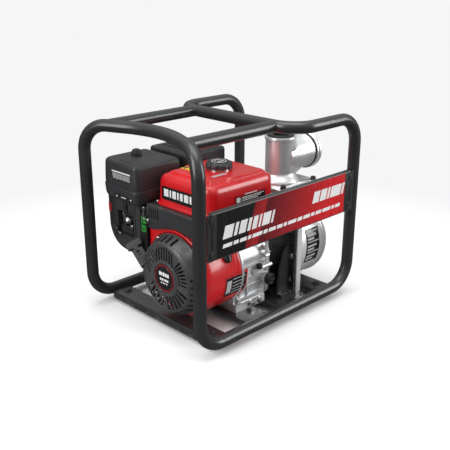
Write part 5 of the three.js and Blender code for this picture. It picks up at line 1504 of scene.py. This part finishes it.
inner_nodes()
air_cleaner()
control_housing()
levers()
crankcase()
governor()
cylinder()
exhaust()
pump_adapter()
pump_casing()
coupling("inlet_coupling", PUMP_END_X + 0.3, INLET_Z, 60)
coupling("outlet_coupling", 246.5, OUTLET_Z, 47)
discharge()


# ---------------------------------------------------------------- studio

BACKDROP_GREY = 0.922
ROOM_LIGHT = 0.85
SOFTBOXES = {  # place in metres, width and height, watts
    "overhead": ((-0.2, -0.1, 2.4), (2.2, 1.6), 30),
    "left_box": ((-2.3, 0.3, 1.3), (1.0, 1.8), 36),
    "right_box": ((1.9, -2.0, 1.0), (1.2, 1.6), 40),
}
SOFTBOX_AIM = (0, 0, 0.2)
FLOOR_HALF = 3
FLOOR_FADE = (0.45, 1.15)
CAMERA_PLACE = (-1.0949, -1.1116, 0.7579)
CAMERA_TURN = (-44.75, 19.97, 0.112)  # azimuth, pitch down and roll in degrees
FOCAL_LENGTH = 55.34
SENSOR_WIDTH = 36


def studio():
    scene = bpy.context.scene
    scene.view_settings.view_transform = "Standard"
    scene.view_settings.look = "None"
    world = bpy.data.worlds.new("studio")
    scene.world = world
    world.use_nodes = True
    tree = world.node_tree
    back = tree.nodes["Background"]
    direction = tree.nodes.new("ShaderNodeTexCoord").outputs["Generated"]
    split = tree.nodes.new("ShaderNodeSeparateXYZ")
    tree.links.new(direction, split.inputs["Vector"])
    glow = ramp(tree, split.outputs["Z"], 0.05, 0.85, 0.10, 1.0)
    tree.links.new(mix_colour(tree, glow, (0.0,) * 3, (1.0,) * 3), back.inputs["Color"])
    back.inputs["Strength"].default_value = ROOM_LIGHT
    plain = tree.nodes.new("ShaderNodeBackground")
    plain.inputs["Color"].default_value = (*(BACKDROP_GREY,) * 3, 1)
    choose = tree.nodes.new("ShaderNodeMixShader")
    seen = tree.nodes.new("ShaderNodeLightPath").outputs["Is Camera Ray"]
    tree.links.new(seen, choose.inputs["Fac"])
    tree.links.new(back.outputs[0], choose.inputs[1])
    tree.links.new(plain.outputs[0], choose.inputs[2])
    tree.links.new(choose.outputs[0], tree.nodes["World Output"].inputs["Surface"])

    for name, (spot, size, power) in SOFTBOXES.items():
        light = bpy.data.lights.new(name, "AREA")
        light.shape = "RECTANGLE"
        light.size, light.size_y = size
        light.energy = power
        obj = bpy.data.objects.new(name, light)
        obj.location = spot
        obj.rotation_euler = (Vector(SOFTBOX_AIM) - Vector(spot)).to_track_quat("-Z", "Y").to_euler()
        scene.collection.objects.link(obj)

    floor = bpy.data.materials.new("floor")
    floor.use_nodes = True
    tree = floor.node_tree
    shader = tree.nodes["Principled BSDF"]
    coords = tree.nodes.new("ShaderNodeTexCoord").outputs["Object"]
    shader.inputs["Roughness"].default_value = 0.85
    shader.inputs["Specular IOR Level"].default_value = 0.1
    tree.links.new(mix_colour(tree, noise(tree, coords, 6), (0.90,) * 3, (0.93,) * 3),
                   shader.inputs["Base Color"])
    length = tree.nodes.new("ShaderNodeVectorMath")
    length.operation = "LENGTH"
    tree.links.new(coords, length.inputs[0])
    clear = tree.nodes.new("ShaderNodeBsdfTransparent")
    fade = tree.nodes.new("ShaderNodeMixShader")
    tree.links.new(ramp(tree, length.outputs["Value"], *FLOOR_FADE), fade.inputs["Fac"])
    tree.links.new(shader.outputs[0], fade.inputs[1])
    tree.links.new(clear.outputs[0], fade.inputs[2])
    tree.links.new(fade.outputs[0], tree.nodes["Material Output"].inputs["Surface"])
    mesh = bpy.data.meshes.new("floor")
    edge = FLOOR_HALF
    mesh.from_pydata([(-edge, -edge, 0), (edge, -edge, 0), (edge, edge, 0), (-edge, edge, 0)], [],
                     [(0, 1, 2, 3)])
    mesh.materials.append(floor)
    obj = bpy.data.objects.new("floor", mesh)
    scene.collection.objects.link(obj)
    obj.visible_glossy = False

    camera = bpy.data.cameras.new("camera")
    camera.sensor_width = SENSOR_WIDTH
    camera.lens = FOCAL_LENGTH
    view = bpy.data.objects.new("camera", camera)
    azimuth, pitch, roll = (math.radians(a) for a in CAMERA_TURN)
    view.location = CAMERA_PLACE
    view.matrix_world = (Matrix.Translation(view.location) @ Matrix.Rotation(azimuth, 4, "Z")
                         @ Matrix.Rotation(math.pi / 2 - pitch, 4, "X") @ Matrix.Rotation(roll, 4, "Z"))
    scene.collection.objects.link(view)
    scene.camera = view


studio()
